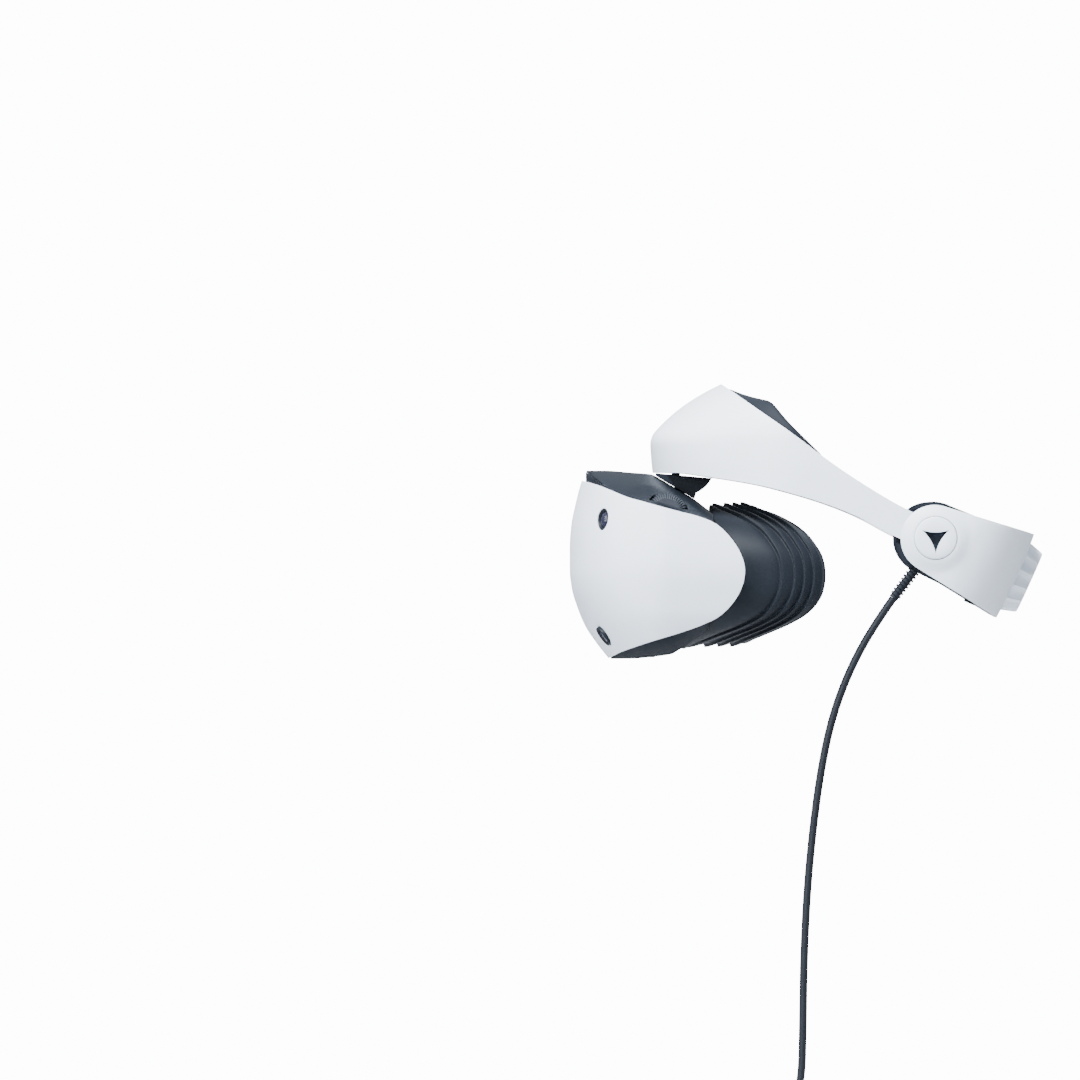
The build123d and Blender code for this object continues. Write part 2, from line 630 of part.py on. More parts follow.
# ---------------------------------------------------------------- adjusting dial, button and racks
with BuildPart() as adjusting_dial:
    with BuildSketch(across(DIAL_SEAT)):
        Circle(DIAL_R)
    with BuildSketch(across(DIAL_SEAT + DIAL_DEEP)):
        Circle(DIAL_TIP_R)
    loft()
    with BuildSketch(across(DIAL_SEAT)):
        with PolarLocations(DIAL_R + 3.6, 14):
            Circle(5.2)
    extrude(amount=DIAL_DEEP, mode=Mode.SUBTRACT)
    with BuildSketch(across(DIAL_SEAT + DIAL_DEEP)):
        Circle(BUTTON_R + 0.3)
    extrude(amount=-7.0, mode=Mode.SUBTRACT)
    with BuildSketch(across(DIAL_SEAT)):
        Circle(3.2)
    extrude(amount=DIAL_DEEP, mode=Mode.SUBTRACT)
keep(adjusting_dial.part, "adjusting_dial")

PITCH = pi * PINION_MODULE
PINION_R = PINION_TEETH * PINION_MODULE / 2
TOOTH_OUT, TOOTH_IN = 1.2, 1.7          # tooth height outside and inside the pitch line
TOOTH_TIP, TOOTH_ROOT = 0.45, 1.25      # half widths of a tooth at its tip and at its root


def tooth(base, tip):
    """One tooth pointing along +y, from its root height to its tip height."""
    Polygon((-TOOTH_ROOT, base), (TOOTH_ROOT, base), (TOOTH_TIP, tip), (-TOOTH_TIP, tip), align=None)


with BuildPart() as dial_pinion:
    with BuildSketch(across(RACK_U - RACK_THICK / 2)):
        Circle(PINION_R - TOOTH_IN)
        with PolarLocations(0.001, PINION_TEETH, start_angle=0):
            with Locations(Rotation(0, 0, -90)):
                tooth(PINION_R - TOOTH_IN - 0.4, PINION_R + TOOTH_OUT)
    extrude(amount=RACK_THICK)
    with BuildSketch(across(REAR_U - TRAY_DEPTH - 2)):
        Circle(4.0)
    extrude(amount=TRAY_DEPTH + 2 + 0.3)
    with BuildSketch(across(REAR_U - TRAY_DEPTH - 4)):
        Circle(3.0 + 2 * SLIP)
    extrude(amount=TRAY_DEPTH + 6, mode=Mode.SUBTRACT)
keep(dial_pinion.part, "dial_pinion")

RACK_LONG = 56.0
for side, word in ((1, "left"), (-1, "right")):
    with BuildPart() as rack:
        rack_plane = across(RACK_U - RACK_THICK / 2)
        with BuildSketch(rack_plane):
            with Locations((side * 6.0, side * (PINION_R + TOOTH_IN + 2.2))):
                Rectangle(RACK_LONG, 4.4)
            for k in range(-6, 6):
                spot = (side * (k + 0.5) * PITCH, side * (PINION_R + TOOTH_IN))
                if abs(spot[0] - side * 6.0) < RACK_LONG / 2 - 1.3:
                    with Locations(Location((spot[0], spot[1], 0), (0, 0, 0 if side < 0 else 180))):
                        tooth(-0.2, TOOTH_OUT + TOOTH_IN)
        extrude(amount=RACK_THICK)
    keep(rack.part, f"strap_rack_{word}")

with BuildPart() as band_release_button:
    with BuildSketch(across(DIAL_SEAT + DIAL_DEEP - 3.6)):
        Circle(BUTTON_R)
    extrude(amount=3.6)
    fillet(band_release_button.faces().sort_by(Axis.Y)[-1].edges(), 0.8)
    with BuildSketch(across(REAR_U - TRAY_DEPTH + 1)):
        Circle(3.0 + SLIP)
    extrude(amount=DIAL_SEAT + DIAL_DEEP - 3.6 - (REAR_U - TRAY_DEPTH + 1))
keep(band_release_button.part, "band_release_button")

with BuildPart() as rear_screws:
    with BuildSketch(across(REAR_U - TRAY_DEPTH + 0.1)):
        with GridLocations(96, 34, 2, 2):
            Circle(2.4)
    extrude(amount=1.4)
keep(rear_screws.part, "rear_screws")

# ---------------------------------------------------------------- cable, strain relief, coil and plug
RELIEF_IN, RELIEF_OUT = (CABLE_X, 33.5, -39.0), (CABLE_X, 17.5, -60.1)
RELIEF_LONG = hypot(RELIEF_OUT[1] - RELIEF_IN[1], RELIEF_OUT[2] - RELIEF_IN[2])
RIB_R, RIB_CORE_R, RIBS = 3.4, 2.6, 9
relief_plane = Plane(origin=RELIEF_IN, x_dir=(1, 0, 0),
                     z_dir=(0, RELIEF_OUT[1] - RELIEF_IN[1], RELIEF_OUT[2] - RELIEF_IN[2]))
with BuildPart() as strain_relief:
    with BuildSketch(relief_plane):
        Circle(3.9)
    extrude(amount=1.6)
    with BuildSketch(relief_plane.offset(1.6)):
        Circle(RIB_CORE_R)
    extrude(amount=RELIEF_LONG - 1.6)
    rib_pitch = (RELIEF_LONG - 6.0) / RIBS
    for k in range(RIBS):
        with BuildSketch(relief_plane.offset(5.0 + k * rib_pitch)):
            Circle(RIB_R - 0.035 * k)
        extrude(amount=rib_pitch * 0.58)
keep(strain_relief.part, "strain_relief")

# the cable hangs from the strain relief and meets the top of its coil
CABLE_ROUTE = [
    (17.5, -60.1), (5.5, -77.0), (-7.5, -101.5), (-17.0, -128.0), (-23.0, -158.0), (-27.2, -190.0),
    (-30.3, -224.0), (-32.0, -262.0), (-32.5, -302.0), (-33.2, -326.0), (-37.5, -341.5), (-51.0, -349.3)]
route = [Vector(CABLE_X, y, z) for y, z in CABLE_ROUTE]
bend_radii = []
for before, corner, after in zip(route, route[1:], route[2:]):
    turn = (corner - before).get_angle(after - corner)
    shorter = min((corner - before).length, (after - corner).length)
    bend_radii.append(0.45 * shorter / tan(radians(turn / 2)))
print("cable bend radii", [round(r, 1) for r in bend_radii])

with BuildPart() as cable:
    with BuildLine() as cable_path:
        FilletPolyline(*route, radius=bend_radii)
    with BuildSketch(Plane(origin=route[0], z_dir=route[1] - route[0])):
        Circle(CABLE_R)
    sweep()
cable_length = cable_path.wires()[0].length
print("cable", round(cable_length, 1), "mm, volume over section x length",
      round(cable.part.volume / (pi * CABLE_R ** 2 * cable_length), 4))
keep(cable.part, "cable")

COIL_LOW = FLOOR_Z + 1.2
with BuildPart() as cable_coil:
    with BuildSketch(Plane.XY.offset(COIL_LOW)):
        with Locations((COIL_X, COIL_Y)):
            Circle(COIL_MEAN_R + COIL_HALF)
            Circle(COIL_MEAN_R - COIL_HALF, mode=Mode.SUBTRACT)
    extrude(amount=COIL_HIGH)
    fillet(cable_coil.edges().filter_by(GeomType.CIRCLE), 3.0)
keep(cable_coil.part, "cable_coil")

tie_plane = Plane(origin=(COIL_X, COIL_Y - COIL_MEAN_R, COIL_LOW + COIL_HIGH / 2), z_dir=(1, 0, 0),
                  x_dir=(0, 1, 0))
with BuildPart() as cable_tie:
    with BuildSketch(tie_plane.offset(-4)):
        RectangleRounded(2 * COIL_HALF + 3.8, COIL_HIGH + 2.4, 3.8)
        RectangleRounded(2 * COIL_HALF + 1.8, COIL_HIGH + 0.6, 3.0, mode=Mode.SUBTRACT)
    extrude(amount=8)
keep(cable_tie.part, "cable_tie")

# plug lying on the coil, its tip pointing to the rear
PLUG_Z = COIL_LOW + COIL_HIGH + 3.35
plug_plane = Plane(origin=(COIL_X - COIL_MEAN_R, COIL_Y - 12, PLUG_Z), x_dir=(1, 0, 0), z_dir=(0, 1, 0))
with BuildPart() as usb_plug_body:
    with BuildSketch(plug_plane):
        RectangleRounded(11.0, 6.4, 2.6)
    extrude(amount=22)
    with BuildSketch(plug_plane):
        Circle(2.7)
    extrude(amount=-7)
keep(usb_plug_body.part, "usb_plug_body")

with BuildPart() as usb_plug_tip:
    with BuildSketch(plug_plane.offset(22)):
        RectangleRounded(8.3, 2.5, 1.2)
    extrude(amount=6.6)
    with BuildSketch(plug_plane.offset(22 + 6.6)):
        RectangleRounded(7.7, 1.9, 0.9)
    extrude(amount=-5.6, mode=Mode.SUBTRACT)
keep(usb_plug_tip.part, "usb_plug_tip")
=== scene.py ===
"""Halo-band virtual-reality headset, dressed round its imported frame. Metres; +X wearer's left, +Y rear."""
import logging
import math
from dataclasses import dataclass, field
from enum import Enum
from typing import Callable, Sequence

import bmesh
import bpy
from mathutils import Matrix, Vector


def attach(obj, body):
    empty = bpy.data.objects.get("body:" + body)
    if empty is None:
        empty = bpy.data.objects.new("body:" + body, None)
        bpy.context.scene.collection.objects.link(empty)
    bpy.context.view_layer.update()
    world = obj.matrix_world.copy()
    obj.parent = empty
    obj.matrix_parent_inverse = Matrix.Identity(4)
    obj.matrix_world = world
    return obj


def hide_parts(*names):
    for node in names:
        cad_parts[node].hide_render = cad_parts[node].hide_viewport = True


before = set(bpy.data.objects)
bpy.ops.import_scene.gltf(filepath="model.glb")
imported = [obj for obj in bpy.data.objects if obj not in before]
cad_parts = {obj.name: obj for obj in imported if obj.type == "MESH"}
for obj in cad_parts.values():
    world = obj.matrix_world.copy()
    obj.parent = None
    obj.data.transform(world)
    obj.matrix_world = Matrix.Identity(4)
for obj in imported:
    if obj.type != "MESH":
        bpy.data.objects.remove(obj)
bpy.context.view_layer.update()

LOG = logging.getLogger("headset")
MM = 0.001
Point = tuple[float, float, float]
Place = Callable[[float, float], Point]
SIDES = ((1, "left"), (-1, "right"))


class Body(Enum):
    """The rigid bodies that the pieces ride on."""

    REAR = "rear_unit"
    DIAL = "dial"
    BAND = "headband"
    SCOPE = "scope"
    WHEEL = "eye_wheel"


class Slot(Enum):
    """The record's material slots that the dressed pieces use."""

    WHITE = "white_cover"
    DARK = "dark_cover"
    RUBBER = "soft_rubber"
    GLASS = "camera_glass"
    CABLE = "cable_jacket"


# ------------------------------------------------------------------ finishes
def tuned(node: bpy.types.Node, values: dict[str, float | tuple[float, ...]]) -> bpy.types.Node:
    """Set a node's inputs by name.

    Args:
        node: the node.
        values: what each named input is set to.

    Returns:
        The same node.
    """
    for socket, value in values.items():
        node.inputs[socket].default_value = value
    return node


class Wiring:
    """The node tree of one material, with its shader."""

    def __init__(self, material: bpy.types.Material) -> None:
        """Take up a material's own tree."""
        self.nodes, self.links = material.node_tree.nodes, material.node_tree.links
        self.shader = self.nodes["Principled BSDF"]

    def noise(self, source: bpy.types.NodeSocket, scale: float, detail: float) -> bpy.types.NodeSocket:
        """Add a noise texture.

        Args:
            source: the coordinates that it reads.
            scale: its scale, in waves a metre.
            detail: how many finer layers it has.

        Returns:
            Its factor.
        """
        noise = tuned(self.nodes.new("ShaderNodeTexNoise"), {"Scale": scale, "Detail": detail})
        self.links.new(source, noise.inputs["Vector"])
        return noise.outputs["Fac"]

    def swing(self, source: bpy.types.NodeSocket, low: float, high: float) -> None:
        """Let the roughness follow a factor.

        Args:
            source: the factor.
            low: the roughness at 0.
            high: the roughness at 1.
        """
        swing = tuned(self.nodes.new("ShaderNodeMapRange"), {"To Min": low, "To Max": high})
        self.links.new(source, swing.inputs["Value"])
        self.links.new(swing.outputs["Result"], self.shader.inputs["Roughness"])

    def tint(self, source: bpy.types.NodeSocket, low: Point, high: Point,
             span: tuple[float, float] = (0.0, 1.0)) -> None:
        """Let the base colour follow a factor.

        Args:
            source: the factor.
            low: the colour where the factor is low.
            high: the colour where it is high.
            span: the two factors between which the colour changes.
        """
        ramp = self.nodes.new("ShaderNodeValToRGB")
        for stop, position, colour in zip(ramp.color_ramp.elements, span, (low, high)):
            stop.position = position
            stop.color = (*colour, 1)
        self.links.new(source, ramp.inputs["Fac"])
        self.links.new(ramp.outputs["Color"], self.shader.inputs["Base Color"])


@dataclass(frozen=True)
class Skin:
    """A named surface, wired once as a node material."""

    name: str

    def make(self) -> bpy.types.Material:
        """Build the material, or find it where it is already built.

        Returns:
            The material of this name.
        """
        found = bpy.data.materials.get(self.name)
        if found:
            return found
        material = bpy.data.materials.new(self.name)
        material.use_nodes = True
        self.wire(Wiring(material))
        return material

    def wire(self, wiring: Wiring) -> None:
        """Wire the shader; each kind of surface has its own way."""
        raise NotImplementedError


@dataclass(frozen=True)
class Finish(Skin):
    """A moulded, cast or drawn finish with its own fine surface.

    Grain sizes are in millimetres; depth is the height of the grain in metres.
    """

    colour: Point
    roughness: float
    grain: float = 0.35
    depth: float = 0.00002
    mottle: float = 0.04
    metallic: float = 0.0
    coat: float = 0.0
    sheen: float = 0.0
    subsurface: float = 0.0
    rough_swing: float = 0.06
    specular: float = 0.5
    stretch: Point = (1.0, 1.0, 1.0)

    def wire(self, wiring: Wiring) -> None:
        """Wire a fine grain, a broad mottle and a roughness that changes with it.

        Args:
            wiring: the material's tree.
        """
        tuned(wiring.shader, {
            "Metallic": self.metallic,
            "Specular IOR Level": self.specular,
            "Coat Weight": self.coat,
            "Coat Roughness": 0.12,
            "Sheen Weight": self.sheen,
            "Sheen Roughness": 0.45,
            "Subsurface Weight": self.subsurface,
            "Subsurface Scale": 0.002,
        })
        place = wiring.nodes.new("ShaderNodeTexCoord")
        turn = tuned(wiring.nodes.new("ShaderNodeMapping"), {"Scale": self.stretch})
        wiring.links.new(place.outputs["Object"], turn.inputs["Vector"])
        fine = wiring.noise(turn.outputs["Vector"], 1.0 / (self.grain * MM), 3.0)
        broad = wiring.noise(turn.outputs["Vector"], 38.0, 4.0)
        darker = tuple(c * (1 - self.mottle) for c in self.colour)
        lighter = tuple(min(1.0, c * (1 + self.mottle)) for c in self.colour)
        wiring.tint(broad, darker, lighter, (0.3, 0.7))
        wiring.swing(broad, self.roughness - self.rough_swing, self.roughness + self.rough_swing)
        bump = tuned(wiring.nodes.new("ShaderNodeBump"), {"Strength": 1.0, "Distance": self.depth})
        wiring.links.new(fine, bump.inputs["Height"])
        wiring.links.new(bump.outputs["Normal"], wiring.shader.inputs["Normal"])


@dataclass(frozen=True)
class PaintedGlintGlass(Skin):
    """Dark camera glass with a painted violet-blue glint: its base colour turns violet-blue at a slant,
    standing in for the coating's reflection.
    """

    name: str = "camera_glass"
    face: Point = (0.012, 0.013, 0.035)
    # rim is the painted violet-blue reflection colour that the base colour takes at a slant.
    rim: Point = (0.16, 0.12, 0.42)

    def wire(self, wiring: Wiring) -> None:
        """Wire the painted glint: the base colour runs from the dark face colour to a violet-blue reflection
        colour at a slant.

        Args:
            wiring: the material's tree.
        """
        tuned(wiring.shader, {"Roughness": 0.06, "Coat Weight": 1.0, "Coat Roughness": 0.03})
        slant = tuned(wiring.nodes.new("ShaderNodeLayerWeight"), {"Blend": 0.35})
        wiring.tint(slant.outputs["Facing"], self.face, self.rim)


@dataclass(frozen=True)
class ClearGlass(Skin):
    """Polished optical glass of the eye lenses."""

    name: str = "lens_glass"
    clear: Point = (0.86, 0.91, 0.96)

    def wire(self, wiring: Wiring) -> None:
        """Wire clear glass with a slight change of tint and polish.

        Args:
            wiring: the material's tree.
        """
        tuned(wiring.shader, {"Transmission Weight": 0.85, "IOR": 1.49})
        place = wiring.nodes.new("ShaderNodeTexCoord")
        rings = wiring.noise(place.outputs["Object"], 60.0, 2.0)
        wiring.tint(rings, tuple(c * 0.94 for c in self.clear), self.clear)
        wiring.swing(rings, 0.02, 0.07)


WHITE = Finish("white_cover_skin", (0.80, 0.85, 0.93), 0.42, 0.30, 0.000006, 0.012, subsurface=0.05,
               specular=0.35)
DARK = Finish("dark_plate", (0.0062, 0.0090, 0.0140), 0.48, 0.28, 0.000006, 0.10, specular=0.16)
# The low housing's finish is a darker, less reflective copy of the dark plate: painted shade for its downward
# face.
UNDER_SHADED = Finish("under_plate_shaded", (0.0058, 0.0084, 0.0130), 0.62, 0.28, 0.000006, 0.10, specular=0.04)
GRIP = Finish("wheel_grip", (0.022, 0.027, 0.037), 0.40, 0.3, 0.00001, 0.08)
TRAY = Finish("dark_tray", (0.0062, 0.0092, 0.0150), 0.50, 0.28, 0.000010, 0.10, specular=0.18)
RUBBER = Finish("bellows_rubber", (0.0056, 0.0082, 0.0130), 0.60, 0.22, 0.000005, 0.14, sheen=0.03,
                specular=0.18)
FOAM = Finish("pad_skin", (0.0078, 0.0110, 0.0170), 0.66, 0.45, 0.000015, 0.16, sheen=0.04, specular=0.15)
JACKET = Finish("cable_skin", (0.0058, 0.0080, 0.0122), 0.50, 0.5, 0.00001, 0.10, specular=0.25)
INNER = Finish("inner_moulding", (0.020, 0.022, 0.026), 0.50, 0.4, 0.00002, 0.08, specular=0.3)
BOARD = Finish("circuit_green", (0.02, 0.11, 0.06), 0.35, 0.8, 0.00003, 0.25)
STEEL = Finish("turned_steel", (0.52, 0.53, 0.55), 0.28, 0.12, 0.000012, 0.05, metallic=1.0,
               stretch=(0.15, 1.0, 1.0))
ALUMINIUM = Finish("extruded_aluminium", (0.62, 0.63, 0.65), 0.36, 0.15, 0.000014, 0.05, metallic=1.0,
                   stretch=(1.0, 1.0, 0.12))
PANEL = Finish("display_panel", (0.010, 0.011, 0.016), 0.10, 0.6, 0.000002, 0.2, coat=1.0, rough_swing=0.03)
GREY = Finish("grey_inlay", (0.30, 0.33, 0.38), 0.45, 0.3, 0.00001, 0.05)
FLOOR = Finish("studio_floor", (0.50, 0.51, 0.53), 0.7, 4.0, 0.00002, 0.01)


# ------------------------------------------------------------------ curves and mesh tools
class Knots:
    """A smooth curve through a few points, read at any position along its first number."""

    def __init__(self, *points: tuple[float, float]) -> None:
        """Take the points, in any order."""
        self.points = sorted(points)

    def at(self, t: float) -> float:
        """Read the curve, held level past its ends.

        Args:
            t: the position along the curve.

        Returns:
            The smooth value there.
        """
        pts = self.points
        if t <= pts[0][0]:
            return pts[0][1]
        if t >= pts[-1][0]:
            return pts[-1][1]
        k = max(i for i in range(len(pts) - 1) if pts[i][0] <= t)
        (x0, y0), (x1, y1) = pts[k], pts[k + 1]
        slope = (y1 - y0) / (x1 - x0)
        before = slope if k == 0 else self._slope(k)
        after = slope if k == len(pts) - 2 else self._slope(k + 1)
        f = (t - x0) / (x1 - x0)
        gap = x1 - x0
        return ((2 * f ** 3 - 3 * f ** 2 + 1) * y0 + (f ** 3 - 2 * f ** 2 + f) * gap * before
                + (3 * f ** 2 - 2 * f ** 3) * y1 + (f ** 3 - f ** 2) * gap * after)

    def _slope(self, k: int) -> float:
        """The slope at an inner knot: a mean of both sides, level at a turning point.

        Args:
            k: the knot's number.

        Returns:
            The slope.
        """
        pts = self.points
        left = (pts[k][1] - pts[k - 1][1]) / (pts[k][0] - pts[k - 1][0])
        right = (pts[k + 1][1] - pts[k][1]) / (pts[k + 1][0] - pts[k][0])
        if left * right <= 0:
            return 0.0
        return 2 * left * right / (left + right)


def clamp(value: float, low: float = 0.0, high: float = 1.0) -> float:
    """Hold a value between two limits."""
    return max(low, min(high, value))


def smooth_step(value: float) -> float:
    """Ease from 0 to 1 over the same range."""
    value = clamp(value)
    return value * value * (3 - 2 * value)


def linked(name: str, data: bpy.types.ID) -> bpy.types.Object:
    """Put some data into the scene as an object.

    Args:
        name: the object's name.
        data: its mesh, curve, lamp or camera.

    Returns:
        The object.
    """
    item = bpy.data.objects.new(name, data)
    bpy.context.scene.collection.objects.link(item)
    return item


class Modeller:
    """Turns bmesh work into finished pieces."""

    @staticmethod
    def piece(bm: bmesh.types.BMesh, name: str, body: Body, slot: Slot, finish: Skin,
              stands_for: Sequence[str] = (), sharp: float = 40.0) -> bpy.types.Object:
        """Store a bmesh as a piece that rides on a body.

        Args:
            bm: the finished mesh, in metres; it is freed.
            name: the piece's name.
            body: the body that carries it.
            slot: the record's material slot; not used.
            finish: what it is dressed in.
            stands_for: the CAD nodes that it replaces.
            sharp: edges that turn more than this many degrees stay crisp.

        Returns:
            The new object.
        """
        mesh = bpy.data.meshes.new(name)
        bm.to_mesh(mesh)
        bm.free()
        mesh.shade_smooth()
        mesh.set_sharp_from_angle(angle=math.radians(sharp))
        piece = linked(name, mesh)
        mesh.materials.append(finish.make())
        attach(piece, body.value)
        if stands_for:
            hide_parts(*stands_for)
        LOG.info("%s rides on %s", name, body.value)
        return piece

    @staticmethod
    def grid(columns: int, rows: int, place: Place) -> bmesh.types.BMesh:
        """Lay a grid onto a surface.

        Args:
            columns: faces along u.
            rows: faces along v.
            place: gives a point in millimetres for u and v, both from -1 to 1.

        Returns:
            An open sheet in metres.
        """
        bm = bmesh.new()
        bmesh.ops.create_grid(bm, x_segments=columns, y_segments=rows, size=1.0)
        for vert in bm.verts:
            vert.co = Vector(place(vert.co.x, vert.co.y)) * MM
        return bm

    @staticmethod
    def face_away(bm: bmesh.types.BMesh, centre: Vector) -> None:
        """Turn an open sheet so that its faces point away from a centre.

        Args:
            bm: the sheet.
            centre: the centre, in metres.
        """
        bm.normal_update()
        lean = sum(f.normal.dot(f.calc_center_median() - centre) * f.calc_area() for f in bm.faces)
        if lean < 0:
            bmesh.ops.reverse_faces(bm, faces=bm.faces)
        bm.normal_update()

    @staticmethod
    def thicken(piece: bpy.types.Object, wall: float, rim: float = 0.0, segments: int = 2) -> None:
        """Give a sheet its wall inwards, and a rounded rim.

        Args:
            piece: the sheet.
            wall: its thickness in millimetres.
            rim: the radius of the rounding along its edges, in millimetres.
            segments: faces across the rounding.
        """
        solid = piece.modifiers.new("wall", "SOLIDIFY")
        solid.thickness = wall * MM
        solid.offset = -1.0
        solid.use_even_offset = False
        if rim:
            Modeller.round_edges(piece, rim, segments).harden_normals = True

    @staticmethod
    def round_edges(piece: bpy.types.Object, width: float, segments: int = 3,
                    angle: float = 50.0) -> bpy.types.BevelModifier:
        """Round every edge that turns sharply.

        Args:
            piece: the piece.
            width: how wide the rounding is, in millimetres.
            segments: faces across it.
            angle: the least turn, in degrees, that is rounded.

        Returns:
            The modifier.
        """
        bevel = piece.modifiers.new("rim", "BEVEL")
        bevel.width = width * MM
        bevel.segments = segments
        bevel.limit_method = "ANGLE"
        bevel.angle_limit = math.radians(angle)
        return bevel

    @staticmethod
    def lathe(profile: Sequence[tuple[float, float]], seat: Matrix, steps: int = 64) -> bmesh.types.BMesh:
        """Spin a profile into a closed solid of revolution.

        Args:
            profile: (radius, height) points in millimetres, from the axis back to the axis.
            seat: where the axis stands, in metres; the axis is its z.
            steps: faces round it.

        Returns:
            The solid, in metres, facing outwards.
        """
        bm = bmesh.new()
        verts = [bm.verts.new((r * MM, 0, h * MM)) for r, h in profile]
        edges = [bm.edges.new(pair) for pair in zip(verts, verts[1:])]
        bmesh.ops.spin(bm, geom=verts + edges, cent=(0, 0, 0), axis=(0, 0, 1), angle=2 * math.pi,
                       steps=steps, use_merge=True)
        bmesh.ops.remove_doubles(bm, verts=bm.verts, dist=1e-6)
        bmesh.ops.recalc_face_normals(bm, faces=bm.faces)
        bmesh.ops.transform(bm, matrix=seat, verts=bm.verts)
        return bm

    @staticmethod
    def drill(radius: float, low: float, high: float, seat: Matrix, steps: int = 48) -> bmesh.types.BMesh:
        """A round cutter along a seat's z, from low to high, in millimetres."""
        return Modeller.lathe([(0, low), (radius, low), (radius, high), (0, high)], seat, steps)

    @staticmethod
    def box(centre: Sequence[float], size: Sequence[float]) -> bmesh.types.BMesh:
        """A box cutter, from its centre and size in millimetres."""
        bm = bmesh.new()
        bmesh.ops.create_cube(bm, size=1.0, matrix=Matrix.Translation(Vector(centre) * MM)
                              @ Matrix.Diagonal((*(Vector(size) * MM), 1)))
        return bm

    @staticmethod
    def ring(profile: Sequence[tuple[float, float]], seat: Matrix, columns: int,
             dip: Callable[[float, float], float]) -> bmesh.types.BMesh:
        """Carry a closed profile round an axis, drawn in where its rim is scalloped or knurled.

        Args:
            profile: (radius, height) points in millimetres, once round the section.
            seat: where the axis stands, in metres; the axis is its z.
            columns: faces round it.
            dip: how far a point is drawn in, for its radius and its angle.

        Returns:
            The ring, in metres, facing outwards.
        """
        def place(u: float, v: float) -> Point:
            """A point of the ring at u round it and v along its profile."""
            radius, height = profile[round((v + 1) / 2 * len(profile)) % len(profile)]
            angle = u * math.pi
            radius -= dip(radius, angle)
            spot = seat @ (Vector((radius * math.cos(angle), radius * math.sin(angle), height)) * MM)
            return tuple(spot / MM)

        bm = Modeller.grid(columns, len(profile), place)
        bmesh.ops.remove_doubles(bm, verts=bm.verts, dist=1e-6)
        bmesh.ops.recalc_face_normals(bm, faces=bm.faces)
        return bm

    @staticmethod
    def cut(piece: bpy.types.Object, cutters: Sequence[bmesh.types.BMesh]) -> None:
        """Cut holes and bake the result into the piece.

        Args:
            piece: the piece.
            cutters: closed solids, in metres; they are freed.
        """
        for k, bm in enumerate(cutters):
            mesh = bpy.data.meshes.new(f"cutter_{k}")
            bm.to_mesh(mesh)
            bm.free()
            tool = linked(f"cutter_{k}", mesh)
            hole = piece.modifiers.new(f"hole_{k}", "BOOLEAN")
            hole.object = tool
            hole.solver = "EXACT"
            bpy.context.view_layer.update()
            finished = bpy.data.meshes.new_from_object(
                piece.evaluated_get(bpy.context.evaluated_depsgraph_get()))
            piece.modifiers.clear()
            piece.data = finished
            bpy.data.objects.remove(tool)

    @staticmethod
    def aim(origin: Sequence[float], direction: Sequence[float], up: Sequence[float] = (0, 0, 1)) -> Matrix:
        """A frame in metres with its z along a direction and its y near up.

        Args:
            origin: where it stands, in millimetres.
            direction: its z.
            up: what its y leans to.

        Returns:
            The 4 x 4 matrix.
        """
        z = Vector(direction).normalized()
        x = Vector(up).cross(z).normalized()
        y = z.cross(x)
        rows = Matrix((x, y, z)).transposed().to_4x4()
        return Matrix.Translation(Vector(origin) * MM) @ rows


# ------------------------------------------------------------------ rounded fronts
@dataclass
class RoundedFront:
    """A housing front: half an ellipse at each height, with straight sides running back.

    Attributes:
        half: half the width, in millimetres.
        arc_y: where the straight sides begin.
        end_y: where the sides end.
        front: the front face at the middle, by height.
        share: the share of the half width, by height.
        top: the height of the upper edge, by y.
        low: the height of the lower edge, by y.
        arc_part: the part of the columns that the round front takes.
    """

    half: float
    arc_y: float
    end_y: float
    front: Knots
    share: Knots
    top: Knots
    low: Knots
    arc_part: float = 0.72

    def plan(self, u: float, z: float) -> tuple[float, float]:
        """A point of the outline.

        Args:
            u: from -1, the end on the wearer's right, to 1, the end on the left.
            z: the height.

        Returns:
            Its x and y, in millimetres.
        """
        side = self.half * self.share.at(z)
        deep = self.arc_y - self.front.at(z)
        if abs(u) <= self.arc_part:
            turn = u / self.arc_part * math.pi / 2
            return side * math.sin(turn), self.arc_y - deep * math.cos(turn)
        run = (abs(u) - self.arc_part) / (1 - self.arc_part)
        back = self.arc_y + (self.end_y - self.arc_y) * math.sin(run * math.pi / 2)
        return math.copysign(side, u), back

    def edge(self, u: float, curve: Knots) -> float:
        """Find where an edge crosses a column.

        Args:
            u: the column, from -1 to 1.
            curve: the edge's height, by y.

        Returns:
            The height, in millimetres.
        """
        z = 0.0
        for _ in range(24):
            z = 0.5 * z + 0.5 * curve.at(self.plan(u, z)[1])
        return z

    def surface(self, u: float, v: float) -> Point:
        """A point of the outer skin.

        Args:
            u: the column, from -1 to 1.
            v: from the lower edge, -1, to the upper edge, 1.

        Returns:
            The point, in millimetres.
        """
        low, top = self.edge(u, self.low), self.edge(u, self.top)
        z = low + (top - low) * (v + 1) / 2
        return (*self.plan(u, z), z)


def rounded_end(base: Knots, middle: float, start: float, end: float) -> Knots:
    """Draw an edge in to a middle height with a round end.

    Args:
        base: the edge without its end.
        middle: the height of the tip.
        start: where the rounding starts.
        end: the y of the tip.

    Returns:
        The finished edge.
    """
    points = [(y, z) for y, z in base.points if y <= start]
    steps = 14
    for k in range(1, steps + 1):
        turn = k / steps * math.pi / 2
        y = start + (end - start) * math.sin(turn)
        points.append((y, middle + (base.at(y) - middle) * max(0.03, math.cos(turn))))
    return Knots(*points)


